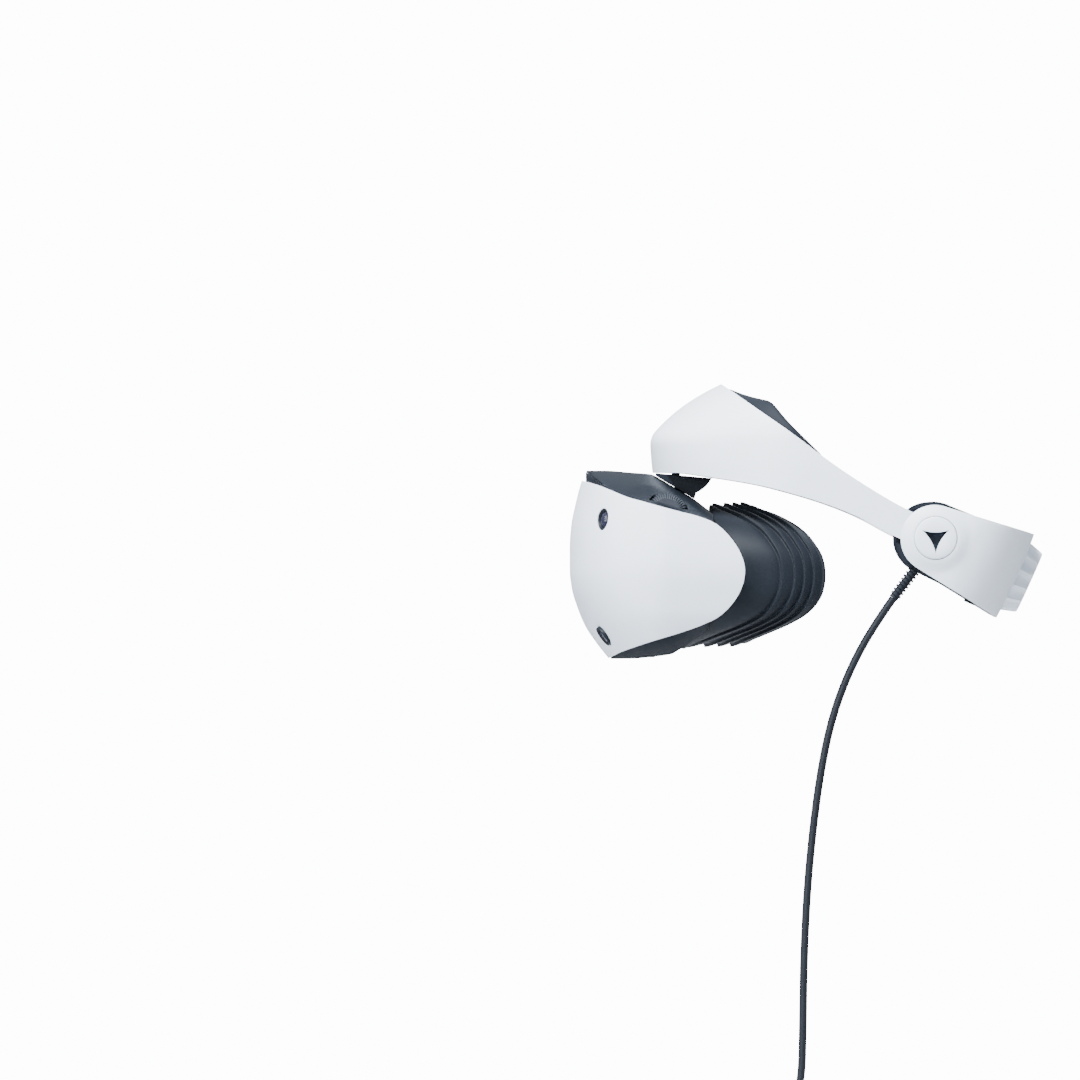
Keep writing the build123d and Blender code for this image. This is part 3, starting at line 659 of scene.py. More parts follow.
@dataclass
class Cushion:
    """A padded piece between an outer and an inner surface, with rounded long edges."""

    point: Callable[[float, float, float], Point]
    columns: int = 72
    loop: int = 40
    power: float = 5.0

    def build(self, name: str, body: Body, node: str, fill: float) -> bpy.types.Object:
        """Args:
            name: the piece's name.
            body: the body it rides on.
            node: the CAD node it replaces.
            fill: how full it is, from 0 to 1; not used.

        Returns:
            The new piece.
        """
        def place(u: float, v: float) -> Point:
            """A point of the skin at column u and v round the loop."""
            turn = (v + 1) * math.pi
            deep = 0.5 + 0.5 * math.copysign(abs(math.cos(turn)) ** (2 / self.power), math.cos(turn))
            high = 0.5 + 0.5 * math.copysign(abs(math.sin(turn)) ** (2 / self.power), math.sin(turn))
            squeeze = clamp((1 - abs(u)) / 0.05) ** 0.5
            high = 0.5 + (high - 0.5) * (0.25 + 0.75 * squeeze)
            return self.point(u, deep, high)

        bm = Modeller.grid(self.columns, self.loop, place)
        bmesh.ops.remove_doubles(bm, verts=bm.verts, dist=1e-5)
        bmesh.ops.holes_fill(bm, edges=[e for e in bm.edges if e.is_boundary], sides=0)
        bmesh.ops.recalc_face_normals(bm, faces=bm.faces)
        pad = Modeller.piece(bm, name, body, Slot.RUBBER, FOAM, [node], 70.0)
        return pad


def dress(finish: Skin, *nodes: str) -> None:
    """Put a finish on carried-over CAD nodes.

    Args:
        finish: the finish.
        nodes: the names of the nodes.
    """
    material = finish.make()
    for node in nodes:
        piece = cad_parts[node]
        if piece.material_slots:
            for place in piece.material_slots:
                place.material = material
        else:
            piece.data.materials.append(material)


# ------------------------------------------------------------------ the scope
@dataclass(frozen=True)
class CameraSpot:
    """Where a tracking camera looks out of the visor, given for the wearer's left."""

    level: str
    spot: Point
    aim: Point

    def seat(self, side: int) -> Matrix:
        """The camera's frame on one side, 1 or -1, with its z looking out."""
        return Modeller.aim((side * self.spot[0], *self.spot[1:]), (side * self.aim[0], *self.aim[1:]))


CAMERAS = (CameraSpot("upper", (72.3, -142.9, -16.4), (0.49, -0.865, 0.1)),
           CameraSpot("lower", (50.0, -143.2, -81.6), (0.2, -0.79, -0.58)))


@dataclass
class Scope:
    """The housing in front of the eyes: white visor, dark plates, cameras, vent and light shield."""

    wall: float = 2.5
    plate_wall: float = 1.8
    vent_turn: float = math.radians(52)
    slats: int = 44
    wheel_spot: Point = (77.0, -108.1, -13.1)
    wheel_ridges: int = 50
    button_spot: tuple[float, float] = (-71.0, -108.1)
    visor: RoundedFront = field(default_factory=lambda: RoundedFront(
        half=102.0, arc_y=-106.0, end_y=-64.6,
        front=Knots((-97, -137.0), (-93.7, -139.7), (-85, -146.6), (-76, -152.6), (-66, -156.9),
                    (-55, -160.2), (-44.5, -161.4), (-32, -161.4), (-20, -160.6), (-8.3, -158.3),
                    (4.9, -154.8), (14, -151.0)),
        share=Knots((-96, 0.80), (-82, 0.88), (-66, 0.95), (-38, 1.0), (-10, 0.98), (14, 0.935)),
        top=rounded_end(Knots((-156, 5.5), (-149, 3.6), (-142, 0.9), (-136, -1.7), (-130, -4.0),
                              (-122, -6.2), (-112, -9.0), (-100, -12.2), (-92, -14.2), (-84, -17.0),
                              (-64, -26.0)), -45.0, -84.0, -64.6),
        low=rounded_end(Knots((-140, -93.6), (-133, -89.9), (-124, -86.6), (-114, -83.3), (-103, -80.0),
                              (-92, -76.3), (-84, -73.0), (-64, -66.0)), -45.0, -84.0, -64.6)))
    plate_line: Knots = field(default_factory=lambda: Knots(
        (-152.5, 10.8), (-141.7, 10.8), (-128, 9.8), (-116, 8.75), (-113.8, 7.85), (-112.5, 7.15),
        (-101.2, 0.35), (-92.2, -5.05), (-86.5, -9.4), (-80, -14.4)))
    plate_edge: Knots = field(default_factory=lambda: Knots(
        (-152.2, 10.2), (-147.9, 7.1), (-142.1, 2.9), (-137.6, -0.6), (-134.5, -2.0), (-130, -3.6),
        (-122, -5.8), (-112, -8.6), (-100, -11.8), (-92, -13.8), (-84, -16.6), (-80, -18.4)))
    low_line: Knots = field(default_factory=lambda: Knots(
        (-140, -93.9), (-127.5, -93.8), (-113.9, -92.6), (-104.6, -91.2), (-101.5, -89.4), (-91.4, -83.5),
        (-84.8, -79.4)))

    def build(self) -> None:
        """Build and dress every piece of the scope."""
        self.visor_cover()
        self.top_plate()
        self.low_housing()
        self.vent()
        self.cameras()
        self.wheel()
        LightShield().build()
        self.dress_inside()

    def visor_cover(self) -> None:
        """The white visor, cut for its four cameras."""
        bm = Modeller.grid(112, 44, self.visor.surface)
        Modeller.face_away(bm, Vector((0, -0.08, -0.045)))
        visor = Modeller.piece(bm, "visor_cover", Body.SCOPE, Slot.WHITE, WHITE, ["visor_shell"])
        Modeller.thicken(visor, self.wall)
        Modeller.cut(visor, [Modeller.drill(6.25, -14, 8, camera.seat(side))
                             for side in (-1, 1) for camera in CAMERAS])
        Modeller.round_edges(visor, 0.7, angle=48)

    def outline_half(self, y: float, z: float, inset: float) -> float:
        """Half the visor's inside width.

        Args:
            y: how far back.
            z: the height.
            inset: how far inside the visor's skin.

        Returns:
            The half width, in millimetres.
        """
        side = self.visor.half * self.visor.share.at(z) - inset
        deep = self.visor.arc_y - self.visor.front.at(z) - inset
        if y >= self.visor.arc_y:
            return side
        part = clamp((self.visor.arc_y - y) / deep, 0.0, 0.9999)
        return side * math.sqrt(1 - part * part)

    def plate_point(self, line: Knots, edge: Knots, front_y: float, back_y: float, power: float,
                    u: float, v: float) -> Point:
        """A point of a crowned plate that falls from its middle line to its edges.

        Args:
            line: the height of the middle, by y.
            edge: the height of the edge, by y.
            front_y: where the plate starts.
            back_y: where it ends.
            power: how late the fall begins, across the width.
            u: across, from -1 to 1.
            v: from the front, -1, to the back, 1.

        Returns:
            The point in millimetres.
        """
        turn = (v + 1) / 2 * math.pi / 2
        y = back_y + (front_y - back_y) * math.cos(turn) ** 1.15
        half = self.outline_half(y, edge.at(y), self.wall + 0.25)
        across = math.sin(u * math.pi / 2)
        return across * half, y, line.at(y) + (edge.at(y) - line.at(y)) * abs(across) ** power

    def top_plate(self) -> None:
        """The dark crowned plate between the visor's upper edges."""
        button_x, button_y = self.button_spot

        def place(u: float, v: float) -> Point:
            """A point of the plate, scooped out round the wheel and raised round the button."""
            x, y, z = self.plate_point(self.plate_line, self.plate_edge, -152.0, -82.0, 2.5, u, v)
            scoop = 4.0 * smooth_step(1.25 - math.hypot((x - 84) / 17, (y + 110) / 19))
            ledge = 2.3 * smooth_step(1.5 - math.hypot((x - button_x) / 15, (y + 108) / 11))
            return x, y, z + ledge - scoop

        bm = Modeller.grid(110, 72, place)
        Modeller.face_away(bm, Vector((0, -0.11, -0.2)))
        plate = Modeller.piece(bm, "top_plate", Body.SCOPE, Slot.DARK, DARK, ["top_cover"])
        Modeller.thicken(plate, self.plate_wall)
        pocket = Modeller.box((0, -103.5, 0), (29.6, 22.4, 50))
        wheel_slot = Modeller.drill(12.3, -3.7, 3.7, Modeller.aim(self.wheel_spot, (1, 0, 0)), 64)
        button = Modeller.box((button_x, button_y, 0), (16.8, 9.8, 50))
        upright = [e for e in button.edges if abs((e.verts[0].co - e.verts[1].co).z) > 0.01]
        bmesh.ops.bevel(button, geom=upright, offset=0.0034, segments=6, affect="EDGES", profile=0.5,
                        material=-1)
        Modeller.cut(plate, [pocket, wheel_slot, button])
        Modeller.round_edges(plate, 0.5, 2)

    def low_housing(self) -> None:
        """The dark housing between the visor's lower edges, dressed in a darker copy of the plate's finish as
        painted shade.
        """
        bm = Modeller.grid(72, 48, lambda u, v: self.plate_point(
            self.low_line, self.visor.low, -138.5, -84.8, 3.4, u, v))
        Modeller.face_away(bm, Vector((0, -0.11, 0.1)))
        plate = Modeller.piece(bm, "low_housing", Body.SCOPE, Slot.DARK, UNDER_SHADED, ["bottom_cover"])
        Modeller.thicken(plate, self.plate_wall)
        Modeller.cut(plate, [Modeller.drill(5.3, -20, 20, Modeller.aim((x, -119, -92), (0, 0, 1), (0, 1, 0)))
                             for x in (34, -34)])

    def vent(self) -> None:
        """The air inlet round the front: slats between the visor's edge and the plate's lip."""
        back = Modeller.grid(60, 2, lambda u, v: self.vent_point(u, v, 4.6))
        Modeller.face_away(back, Vector((0, -0.08, 0)))
        backing = Modeller.piece(back, "vent_backing", Body.SCOPE, Slot.DARK, TRAY, ["vent_grille"])
        Modeller.thicken(backing, 0.8)
        slats = bmesh.new()
        for k in range(self.slats):
            u = -1 + 2 * (k + 0.5) / self.slats
            low, top = Vector(self.vent_point(u, -1, 3.6)), Vector(self.vent_point(u, 1, 3.6))
            if abs(u) < 0.09 or (top - low).length < 0.9:
                continue
            bmesh.ops.create_cube(slats, size=1.0, matrix=Matrix.Translation((low + top) / 2 * MM)
                                  @ Matrix.Rotation(u * self.vent_turn, 4, "Z")
                                  @ Matrix.Diagonal((0.0010, 0.0026, (top - low).length * MM * 0.98, 1)))
        bmesh.ops.bevel(slats, geom=slats.edges[:], offset=0.0002, segments=1, affect="EDGES", profile=0.5,
                        material=-1)
        Modeller.piece(slats, "vent_slats", Body.SCOPE, Slot.DARK, DARK)
        inlay = Modeller.grid(10, 4, lambda u, v: self.vent_point(u * 0.075, v * 0.86, 2.9))
        Modeller.face_away(inlay, Vector((0, -0.08, 0)))
        block = Modeller.piece(inlay, "front_indicator", Body.SCOPE, Slot.DARK, GREY)
        Modeller.thicken(block, 1.2, 0.3)

    def vent_point(self, u: float, v: float, inset: float) -> Point:
        """A point of the band that the inlet follows.

        Args:
            u: round the front, from -1 to 1.
            v: from the band's foot, -1, to its top, 1.
            inset: how far inside the visor's skin.

        Returns:
            The point, in millimetres.
        """
        angle = u * self.vent_turn
        side, deep = self.visor.half * 0.96 - inset, 155.0 + self.visor.arc_y - inset
        y = self.visor.arc_y - deep * math.cos(angle)
        low, high = self.visor.top.at(y) - 1.2, self.plate_edge.at(y) - 0.1
        return side * math.sin(angle), y, low + (max(high, low + 0.3) - low) * (v + 1) / 2

    def cameras(self) -> None:
        """Four tracking cameras: a dark barrel with a stepped rim, and a domed window with a painted
        violet-blue glint.
        """
        rim = [(0, -7.5), (6.0, -7.5), (6.0, -0.25), (5.7, 0.1), (5.2, 0.1), (4.9, -0.3), (4.6, -1.2),
               (3.4, -1.9), (0, -1.9)]
        dome = [(0, 0.05), (1.2, 0.0), (2.4, -0.18), (3.4, -0.48), (4.2, -0.85), (4.55, -1.15), (4.4, -1.6),
                (0, -1.6)]
        for side, word in SIDES:
            for camera in CAMERAS:
                seat, node = camera.seat(side), f"camera_{camera.level}_{word}"
                Modeller.piece(Modeller.lathe(rim, seat), f"{node}_barrel", Body.SCOPE, Slot.DARK, TRAY,
                               [node], 30.0)
                Modeller.piece(Modeller.lathe(dome, seat), f"{node}_dome", Body.SCOPE, Slot.GLASS,
                               PaintedGlintGlass(), [f"{node}_window"])

    def wheel(self) -> None:
        """The knurled wheel that sets the eye spacing."""
        profile = [(2.0, -3.0), (11.0, -3.0), (11.6, -2.6), (11.75, -2.0), (11.75, 0.2), (11.5, 0.7),
                   (9.0, 2.6), (8.4, 3.0), (2.0, 3.0)]

        def knurl(radius: float, angle: float) -> float:
            """The depth of the knurling, which only its outer rim has."""
            return abs(math.cos(angle * self.wheel_ridges / 2)) ** 0.6 if radius > 8.5 else 0.0

        bm = Modeller.ring(profile, Modeller.aim(self.wheel_spot, (1, 0, 0)), self.wheel_ridges * 8, knurl)
        Modeller.piece(bm, "spacing_wheel", Body.WHEEL, Slot.DARK, GRIP, ["ipd_wheel"], 30.0)

    @staticmethod
    def dress_inside() -> None:
        """Give the carried-over nodes their finishes."""
        dress(TRAY, "face_plate", "slide_housing", "scope_chassis")
        dress(DARK, "scope_release_button", "power_button", "function_button")
        dress(INNER, "lens_barrel_left", "lens_barrel_right", "fan_housing", "fan_rotor")
        dress(STEEL, "lens_rail", "ipd_leadscrew", "scope_screws", "haptic_motor")
        dress(BOARD, "mainboard")
        dress(ALUMINIUM, "heat_sink")
        dress(PANEL, "display_left", "display_right")
        dress(ClearGlass(), "lens_left", "lens_right")


@dataclass
class LightShield:
    """The soft bellows between the scope and the face: a loop round the eyes, folded along its depth."""

    half: float = 83.2
    mid_z: float = -46.8
    high: float = 39.6
    power: float = 2.6
    fold: float = 1.9
    lip: Knots = field(default_factory=lambda: Knots(
        (-90, -63.5), (-70, -59.0), (-55, -50.5), (-40, -38.0), (-30, -30.0), (-20, -24.4), (-10, -20.9),
        (0, -19.6), (10, -21.2), (20, -25.0), (30, -29.4), (40, -35.2), (55, -45.5), (70, -55.5),
        (90, -61.0)))
    front: Knots = field(default_factory=lambda: Knots(
        (-90, -99.5), (-60, -97.5), (-35, -88.0), (-15, -84.4), (90, -84.3)))
    reach: Knots = field(default_factory=lambda: Knots(
        (-90, 1.36), (-55, 1.22), (-25, 1.03), (0, 1.0), (40, 0.97), (90, 0.86)))
    folds: tuple[float, ...] = (1.7, 7.0, 12.2, 17.7, 25.4)
    front_panel: float = 34.6
    wall: float = 1.6

    def build(self) -> None:
        """Build the bellows, with its rolled lip, and the nose flap."""
        rows = self.rows()

        def place(u: float, v: float) -> Point:
            """A point of the bellows at u round the loop and row v."""
            depth, swell = rows[round((v + 1) / 2 * (len(rows) - 1))]
            return self.point(u * math.pi, depth, swell)

        bm = Modeller.grid(168, len(rows) - 1, place)
        bmesh.ops.remove_doubles(bm, verts=bm.verts, dist=1e-6)
        Modeller.face_away(bm, Vector((0, -0.06, self.mid_z * MM)))
        shield = Modeller.piece(bm, "bellows_shield", Body.SCOPE, Slot.RUBBER, RUBBER, ["light_shield"], 60.0)
        Modeller.thicken(shield, self.wall)
        smooth = shield.modifiers.new("soft", "SUBSURF")
        smooth.levels = smooth.render_levels = 1
        self.nose_flap()

    def rows(self) -> list[tuple[float, float]]:
        """The rows of the bellows, from its rolled lip forward.

        Returns:
            For each row, its distance from the lip and how far the fold stands out there.
        """
        rows = [(3.4, -6.5), (1.5, -4.6), (0.45, -2.4), (0.0, -1.0), (0.5, 0.1), (1.3, 0.35)]
        for near, far in zip(self.folds, self.folds[1:]):
            deep = far - near
            rows += [(near, 0.0), (near + 0.06 * deep, 0.0), (near + 0.14 * deep, 0.12 * self.fold),
                     (near + 0.45 * deep, 0.55 * self.fold), (near + 0.76 * deep, 0.92 * self.fold),
                     (near + 0.86 * deep, self.fold), (near + 0.9 * deep, 0.95 * self.fold),
                     (near + 0.93 * deep, 0.5 * self.fold), (near + 0.96 * deep, 0.08 * self.fold)]
        last, swell = self.folds[-1], self.fold
        rows += [(last, 0.0), (last + 0.4, 0.0), (last + 1.2, 0.25 * swell), (last + 4, 0.6 * swell),
                 (last + 9, 0.85 * swell), (last + 16, swell), (last + 22, 0.8 * swell),
                 (last + 28, 0.45 * swell), (last + self.front_panel, 0.0)]
        return rows

    def point(self, angle: float, depth: float, swell: float) -> Point:
        """A point of the bellows.

        Args:
            angle: round the loop, in radians, from the wearer's left through the top.
            depth: how far in front of the lip, before the folds are shared out.
            swell: how far the fold stands out there.

        Returns:
            The point in millimetres.
        """
        across, up = math.cos(angle), math.sin(angle)
        height = math.degrees(math.asin(clamp(up, -1, 1)))
        lip, front = self.lip.at(height), self.front.at(height)
        folded = self.folds[-1] * self.reach.at(height)
        y = lip - depth * self.reach.at(height)
        if depth > self.folds[-1]:
            part = (depth - self.folds[-1]) / self.front_panel
            y = lip - folded + (front - lip + folded) * part
        sag = smooth_step(clamp(depth / 60.0)) * (1.8 if up < 0 else 2.2) * abs(up) ** 1.5
        wide = self.half - self.wall + swell
        tall = self.high - 1.2 + swell
        x = wide * math.copysign(abs(across) ** (2 / self.power), across)
        return x, y, self.mid_z + tall * math.copysign(abs(up) ** (2 / self.power), up) - sag

    @staticmethod
    def nose_flap() -> None:
        """The thin arched flap that closes the space round the nose."""
        def place(u: float, v: float) -> Point:
            """A point of the arched flap."""
            turn = (u + 1) / 2 * math.pi
            wide = 13.6 - 1.1 * (v + 1)
            return wide * math.cos(turn), -63 + 10 * v, -79.4 + 12.4 * math.sin(turn) ** 0.8

        bm = Modeller.grid(28, 10, place)
        Modeller.face_away(bm, Vector((0, -0.063, -0.1)))
        flap = Modeller.piece(bm, "nose_membrane", Body.SCOPE, Slot.RUBBER, RUBBER, ["nose_flap"])
        Modeller.thicken(flap, 0.9, 0.25)


# ------------------------------------------------------------------ the headband
@dataclass
class Headband:
    """The white front half of the headband, its forehead pad and the arm that carries the scope."""

    wall: float = 2.5
    cover: RoundedFront = field(default_factory=lambda: RoundedFront(
        half=82.0, arc_y=-30.0, end_y=55.5,
        front=Knots((8, -115.2), (18, -116.2), (26, -116.6), (30.7, -115.2), (33.5, -113), (42.3, -103.9),
                    (49.2, -94.7), (54.7, -85.5), (58.9, -77.2), (62, -70)),
        share=Knots((-45, 1.0), (10, 1.0), (28, 0.99), (34, 0.975), (42, 0.94), (49, 0.89), (55, 0.83),
                    (62, 0.74)),
        top=Knots((-77.2, 58.9), (-57.8, 45), (-39.4, 32.1), (-18.6, 16.5), (-2.4, 5.4), (22.2, -9.3),
                  (60.5, -27.3)),
        low=Knots((-125, 9.6), (-104, 9.4), (-82.7, 6.8), (-57.8, 2.7), (-39.4, -1.9), (-20.9, -7.5),
                  (-2.4, -14.8), (17.8, -25.5), (54, -41.6))))
    pad_top: Knots = field(default_factory=lambda: Knots(
        (-98, 50.0), (-82, 57.4), (-76.5, 58.4), (-68.7, 54.6), (-58, 51.0), (-51.2, 49.4), (-41, 38.4),
        (-25, 22.5), (-14, 12.5)))
    pad_low: Knots = field(default_factory=lambda: Knots((-98, 12.4), (-70, 8.0), (-45, 3.4), (-14, -3.0)))

    def build(self) -> None:
        """Build and dress every piece of the headband."""
        bm = Modeller.grid(180, 30, self.cover.surface)
        Modeller.face_away(bm, Vector((0, 0, 0)))
        band = Modeller.piece(bm, "band_cover", Body.BAND, Slot.WHITE, WHITE, ["band_outer_shell"], 60.0)
        Modeller.thicken(band, self.wall, 0.7, 3)
        Cushion(self.pad_point).build("forehead_cushion", Body.BAND, "forehead_pad", 0.6)
        dress(TRAY, "band_inner_frame", "mount_arm")
        dress(STEEL, "band_screws")

    def pad_point(self, u: float, deep: float, high: float) -> Point:
        """A point of the forehead pad.

        Args:
            u: across, from -1 to 1.
            deep: from the band's inside, 0, to the forehead, 1.
            high: from the lower edge, 0, to the upper edge, 1.

        Returns:
            The point, in millimetres.
        """
        inset, z = 5.8, 28.0
        x = y = 0.0
        for _ in range(12):
            turn = u * math.radians(84)
            side, front = self.cover.half * self.cover.share.at(z) - inset, self.cover.front.at(z) + inset
            outer_x = side * math.sin(turn)
            outer_y = -26 - (-26 - front) * math.cos(turn)
            face = -71.0 + 0.52 * (z - 12)
            inner_x, inner_y = 70 * math.sin(turn), -8 + (face + 8) * math.cos(turn)
            x, y = outer_x + (inner_x - outer_x) * deep, outer_y + (inner_y - outer_y) * deep
            low, top = self.pad_low.at(y), self.pad_top.at(y)
            z = 0.5 * z + 0.5 * (low + (top - low) * high)
        return x, y, z


# ------------------------------------------------------------------ the rear unit
@dataclass
class RearUnit:
    """The rear of the headband, in its own tilted frame: u runs back and down, n across it and up."""

    origin: Point = (0.0, 40.4, -27.2)
    tilt: float = math.radians(24.4)
    half: float = 88.0
    corner: float = 38.0
    back: float = 49.7
    end_r: float = 18.8
    splay: float = math.radians(7.3)
    wall: float = 2.5
    ear: tuple[float, float] = (0.3, 0.7)
    ear_foot: float = 85.9
    scallops: int = 14

    def at(self, x: float, u: float, n: float) -> Point:
        """A point of the tilted frame in the headset's own frame."""
        cos, sin = math.cos(self.tilt), math.sin(self.tilt)
        return x, self.origin[1] + u * cos + n * sin, self.origin[2] - u * sin + n * cos

    def half_height(self, u: float) -> float:
        """Half the height of the cover, whose round front end opens towards the back.

        Args:
            u: how far back.

        Returns:
            The half height, in millimetres.
        """
        near = self.end_r * math.sin(self.splay)
        if u <= -near:
            return math.sqrt(max(0.0, self.end_r ** 2 - u * u))
        return self.end_r * math.cos(self.splay) + (u + near) * math.tan(self.splay)

    def plan(self, share: float, inset: float, start: float) -> tuple[float, float]:
        """A point of the bullet outline.

        Args:
            share: from the right front end, -1, round the back to the left one, 1.
            inset: how far inside the cover's skin.
            start: the u of the front ends.

        Returns:
            Its x and u, in millimetres.
        """
        half, back, corner = self.half - inset, self.back - inset, self.corner - inset
        side, bend, rest = back - corner - start, corner * math.pi / 2, half - corner
        spare, total = 1 - abs(share), side + bend + rest
        end = 0.16
        if spare < end and start < 0:
            run = -start * (1 - math.cos(spare / end * math.pi / 2))
        elif start < 0:
            run = -start + (spare - end) / (1 - end) * (total + start)
        else:
            run = spare * total
        if run <= side:
            x, u = half, start + run
        elif run <= side + bend:
            turn = (run - side) / corner
            x, u = half - corner * (1 - math.cos(turn)), back - corner + corner * math.sin(turn)
        else:
            x, u = half - corner - (run - side - bend), back
        return math.copysign(x, share), u

    def cover_point(self, share: float, v: float) -> Point:
        """A point of the white cover, with its slight crown and the soft swell round the ear-tip holder.

        Args:
            share: from the right front end, -1, round the back to the left one, 1.
            v: from the lower edge, -1, to the upper edge, 1.

        Returns:
            The point, in millimetres.
        """
        x, u = self.plan(share, 0.0, -self.end_r)
        n = v * max(0.02, self.half_height(u))
        crown = 0.9 * (1 - v * v)
        reach = math.hypot(u - self.ear[0], n - self.ear[1])
        swell = 2.3 * smooth_step((20.5 - reach) / 9.0)
        if abs(x) > self.half - 1:
            return self.at(math.copysign(abs(x) + crown + swell, x), u, n)
        out = clamp((u - (self.back - self.corner)) / self.corner)
        return self.at(x + math.copysign(crown * (1 - out), x), u + crown * out, n)

    def build(self) -> None:
        """Build and dress every piece of the rear unit."""
        bm = Modeller.grid(220, 28, self.cover_point)
        Modeller.face_away(bm, Vector(self.at(0, -20, 0)) * MM)
        cover = Modeller.piece(bm, "rear_cover", Body.REAR, Slot.WHITE, WHITE, ["rear_outer_cover"], 60.0)
        Modeller.thicken(cover, self.wall)
        ears = [Modeller.aim(self.at(side * self.half, *self.ear), (side, 0, 0)) for side in (-1, 1)]
        holes = [Modeller.drill(12.1, -8, 8, ear, 72) for ear in ears]
        holes.append(Modeller.drill(6.1, -9, 9, self.seat(self.back)))
        Modeller.cut(cover, holes)
        Modeller.round_edges(cover, 0.6)
        for side, word in SIDES:
            self.ear_holder(side, word)
        Cushion(self.pad_point, 110, 36, 4.0).build("rear_cushion", Body.REAR, "rear_pad", 0.55)
        self.dial()
        self.strain_relief()
        dress(TRAY, "rear_inner_tray", "headphone_jack", "band_release_button")
        dress(STEEL, "rear_screws")
        dress(INNER, "dial_pinion", "strap_rack_left", "strap_rack_right")

    def seat(self, u: float) -> Matrix:
        """The frame across the band at u, its z to the rear, in metres."""
        cos, sin = math.cos(self.tilt), math.sin(self.tilt)
        return Modeller.aim(self.at(0, u, 0), (0, cos, -sin))

    def ear_holder(self, side: int, word: str) -> None:
        """A round ear-tip holder with a three-pointed recess of inward curves, its floor a dark piece painted
        as the recess's shade.

        Args:
            side: 1 on the wearer's left, -1 on the right.
            word: the side's name.
        """
        place = Modeller.aim(self.at(side * self.ear_foot, *self.ear), (side, 0, 0))
        rim = [(0, 0), (11.6, 0), (11.8, 0.2), (11.8, 5.0), (11.6, 5.4), (11.1, 5.65), (8.0, 5.95),
               (3.0, 6.1), (0, 6.12)]
        disc = Modeller.piece(Modeller.lathe(rim, place, 96), f"ear_holder_{word}", Body.REAR, Slot.WHITE,
                              WHITE, [f"ear_tip_holder_{word}"])
        Modeller.cut(disc, [self.star(place, 1.3, 8.0, 8.6)])
        Modeller.round_edges(disc, 0.25, 2)
        # The dark star at the foot of the recess is painted shade: a dark floor standing in for the shade
        # inside the recess.
        Modeller.piece(self.star(place, 1.2, 1.7, 8.55), f"ear_recess_shade_floor_{word}", Body.REAR, Slot.DARK, TRAY)

    @staticmethod
    def star(place: Matrix, low: float, high: float, reach: float) -> bmesh.types.BMesh:
        """A prism with three points joined by inward curves, tapered a little towards its foot.

        Args:
            place: the frame that it stands in.
            low: its foot, in millimetres.
            high: its top.
            reach: how far its points lie from the middle.

        Returns:
            The closed prism, in metres.
        """
        bm = bmesh.new()
        steps = 14
        angles = (math.radians(degrees) for degrees in (30, 150, 270))
        tips = [Vector((math.cos(angle), math.sin(angle), 0)) * reach for angle in angles]
        outline = []
        for k, tip in enumerate(tips):
            after = tips[(k + 1) % 3]
            middle = (tip + after).normalized() * 0.2 * reach
            for step in range(steps):
                t = step / steps
                outline.append((1 - t) ** 2 * tip + 2 * t * (1 - t) * middle + t * t * after)
        bmesh.ops.create_circle(bm, cap_ends=True, segments=len(outline), radius=1.0)
        for vert, spot in zip(list(bm.verts), outline):
            vert.co = Vector((spot.x, spot.y, low)) * MM
        grown = bmesh.ops.extrude_face_region(bm, geom=bm.faces[:])
        for vert in (g for g in grown["geom"] if isinstance(g, bmesh.types.BMVert)):
            vert.co = Vector((vert.co.x * 1.02, vert.co.y * 1.02, high * MM))
        bmesh.ops.recalc_face_normals(bm, faces=bm.faces)
        bmesh.ops.transform(bm, matrix=place, verts=bm.verts)
        return bm

    def pad_point(self, share: float, deep: float, high: float) -> Point:
        """A point of the rear pad.

        Args:
            share: from the right front end, -1, round the back to the left one, 1.
            deep: from the tray, 0, to the head, 1.
            high: from the lower edge, 0, to the upper edge, 1.

        Returns:
            The point, in millimetres.
        """
        outer = self.plan(share, 12.8, 4.0)
        inner = self.plan(share, 24.0, 4.0)
        taper = smooth_step((1 - abs(share)) / 0.12)
        part = deep * (0.35 + 0.65 * taper)
        x, u = outer[0] + (inner[0] - outer[0]) * part, outer[1] + (inner[1] - outer[1]) * part
        tall = self.half_height(outer[1]) - 2.4
        return self.at(x, u, tall * (2 * high - 1))

    def dial(self) -> None:
        """The scalloped adjusting dial round the release button."""
        profile = [(3.2, 0.3), (20.0, 0.3), (20.3, 0.7), (20.2, 1.4), (19.6, 3.4), (18.9, 5.8), (18.2, 8.2),
                   (17.8, 9.0), (17.1, 9.5), (15.5, 9.6), (10.2, 9.6), (9.7, 9.4), (9.5, 8.9), (9.5, 2.6),
                   (3.2, 2.6)]

        def scallop(radius: float, angle: float) -> float:
            """The depth of the scallops, which fade out towards the face."""
            wave = abs(math.cos(angle * self.scallops / 2)) ** 0.8
            return 2.5 * wave * clamp((radius - 15.2) / 2.0)

        bm = Modeller.ring(profile, self.seat(self.back), self.scallops * 20, scallop)
        Modeller.piece(bm, "fit_dial", Body.DIAL, Slot.WHITE, WHITE, ["adjusting_dial"], 38.0)

    @staticmethod
    def strain_relief() -> None:
        """The ribbed rubber sleeve where the cable leaves."""
        start, end = Vector((81.5, 33.5, -39.0)), Vector((81.5, 17.5, -60.1))
        reach, ribs = (end - start).length, 9
        profile = [(0, -1), (3.9, -1), (3.9, 1.4), (3.6, 1.8), (2.4, 2.0)]
        pitch = (reach - 6.0) / ribs
        for k in range(ribs):
            foot, radius = 5.0 + k * pitch, 3.45 - 0.035 * k
            profile += [(2.4, foot), (radius - 0.25, foot), (radius, foot + 0.25),
                        (radius, foot + 0.58 * pitch - 0.25), (radius - 0.25, foot + 0.58 * pitch),
                        (2.4, foot + 0.58 * pitch)]
        profile += [(2.6, reach - 0.3), (2.4, reach), (0, reach)]
        seat = Modeller.aim(start, end - start, (1, 0, 0))
        Modeller.piece(Modeller.lathe(profile, seat, 40), "relief_sleeve", Body.REAR, Slot.RUBBER, RUBBER,
                       ["strain_relief"], 30.0)


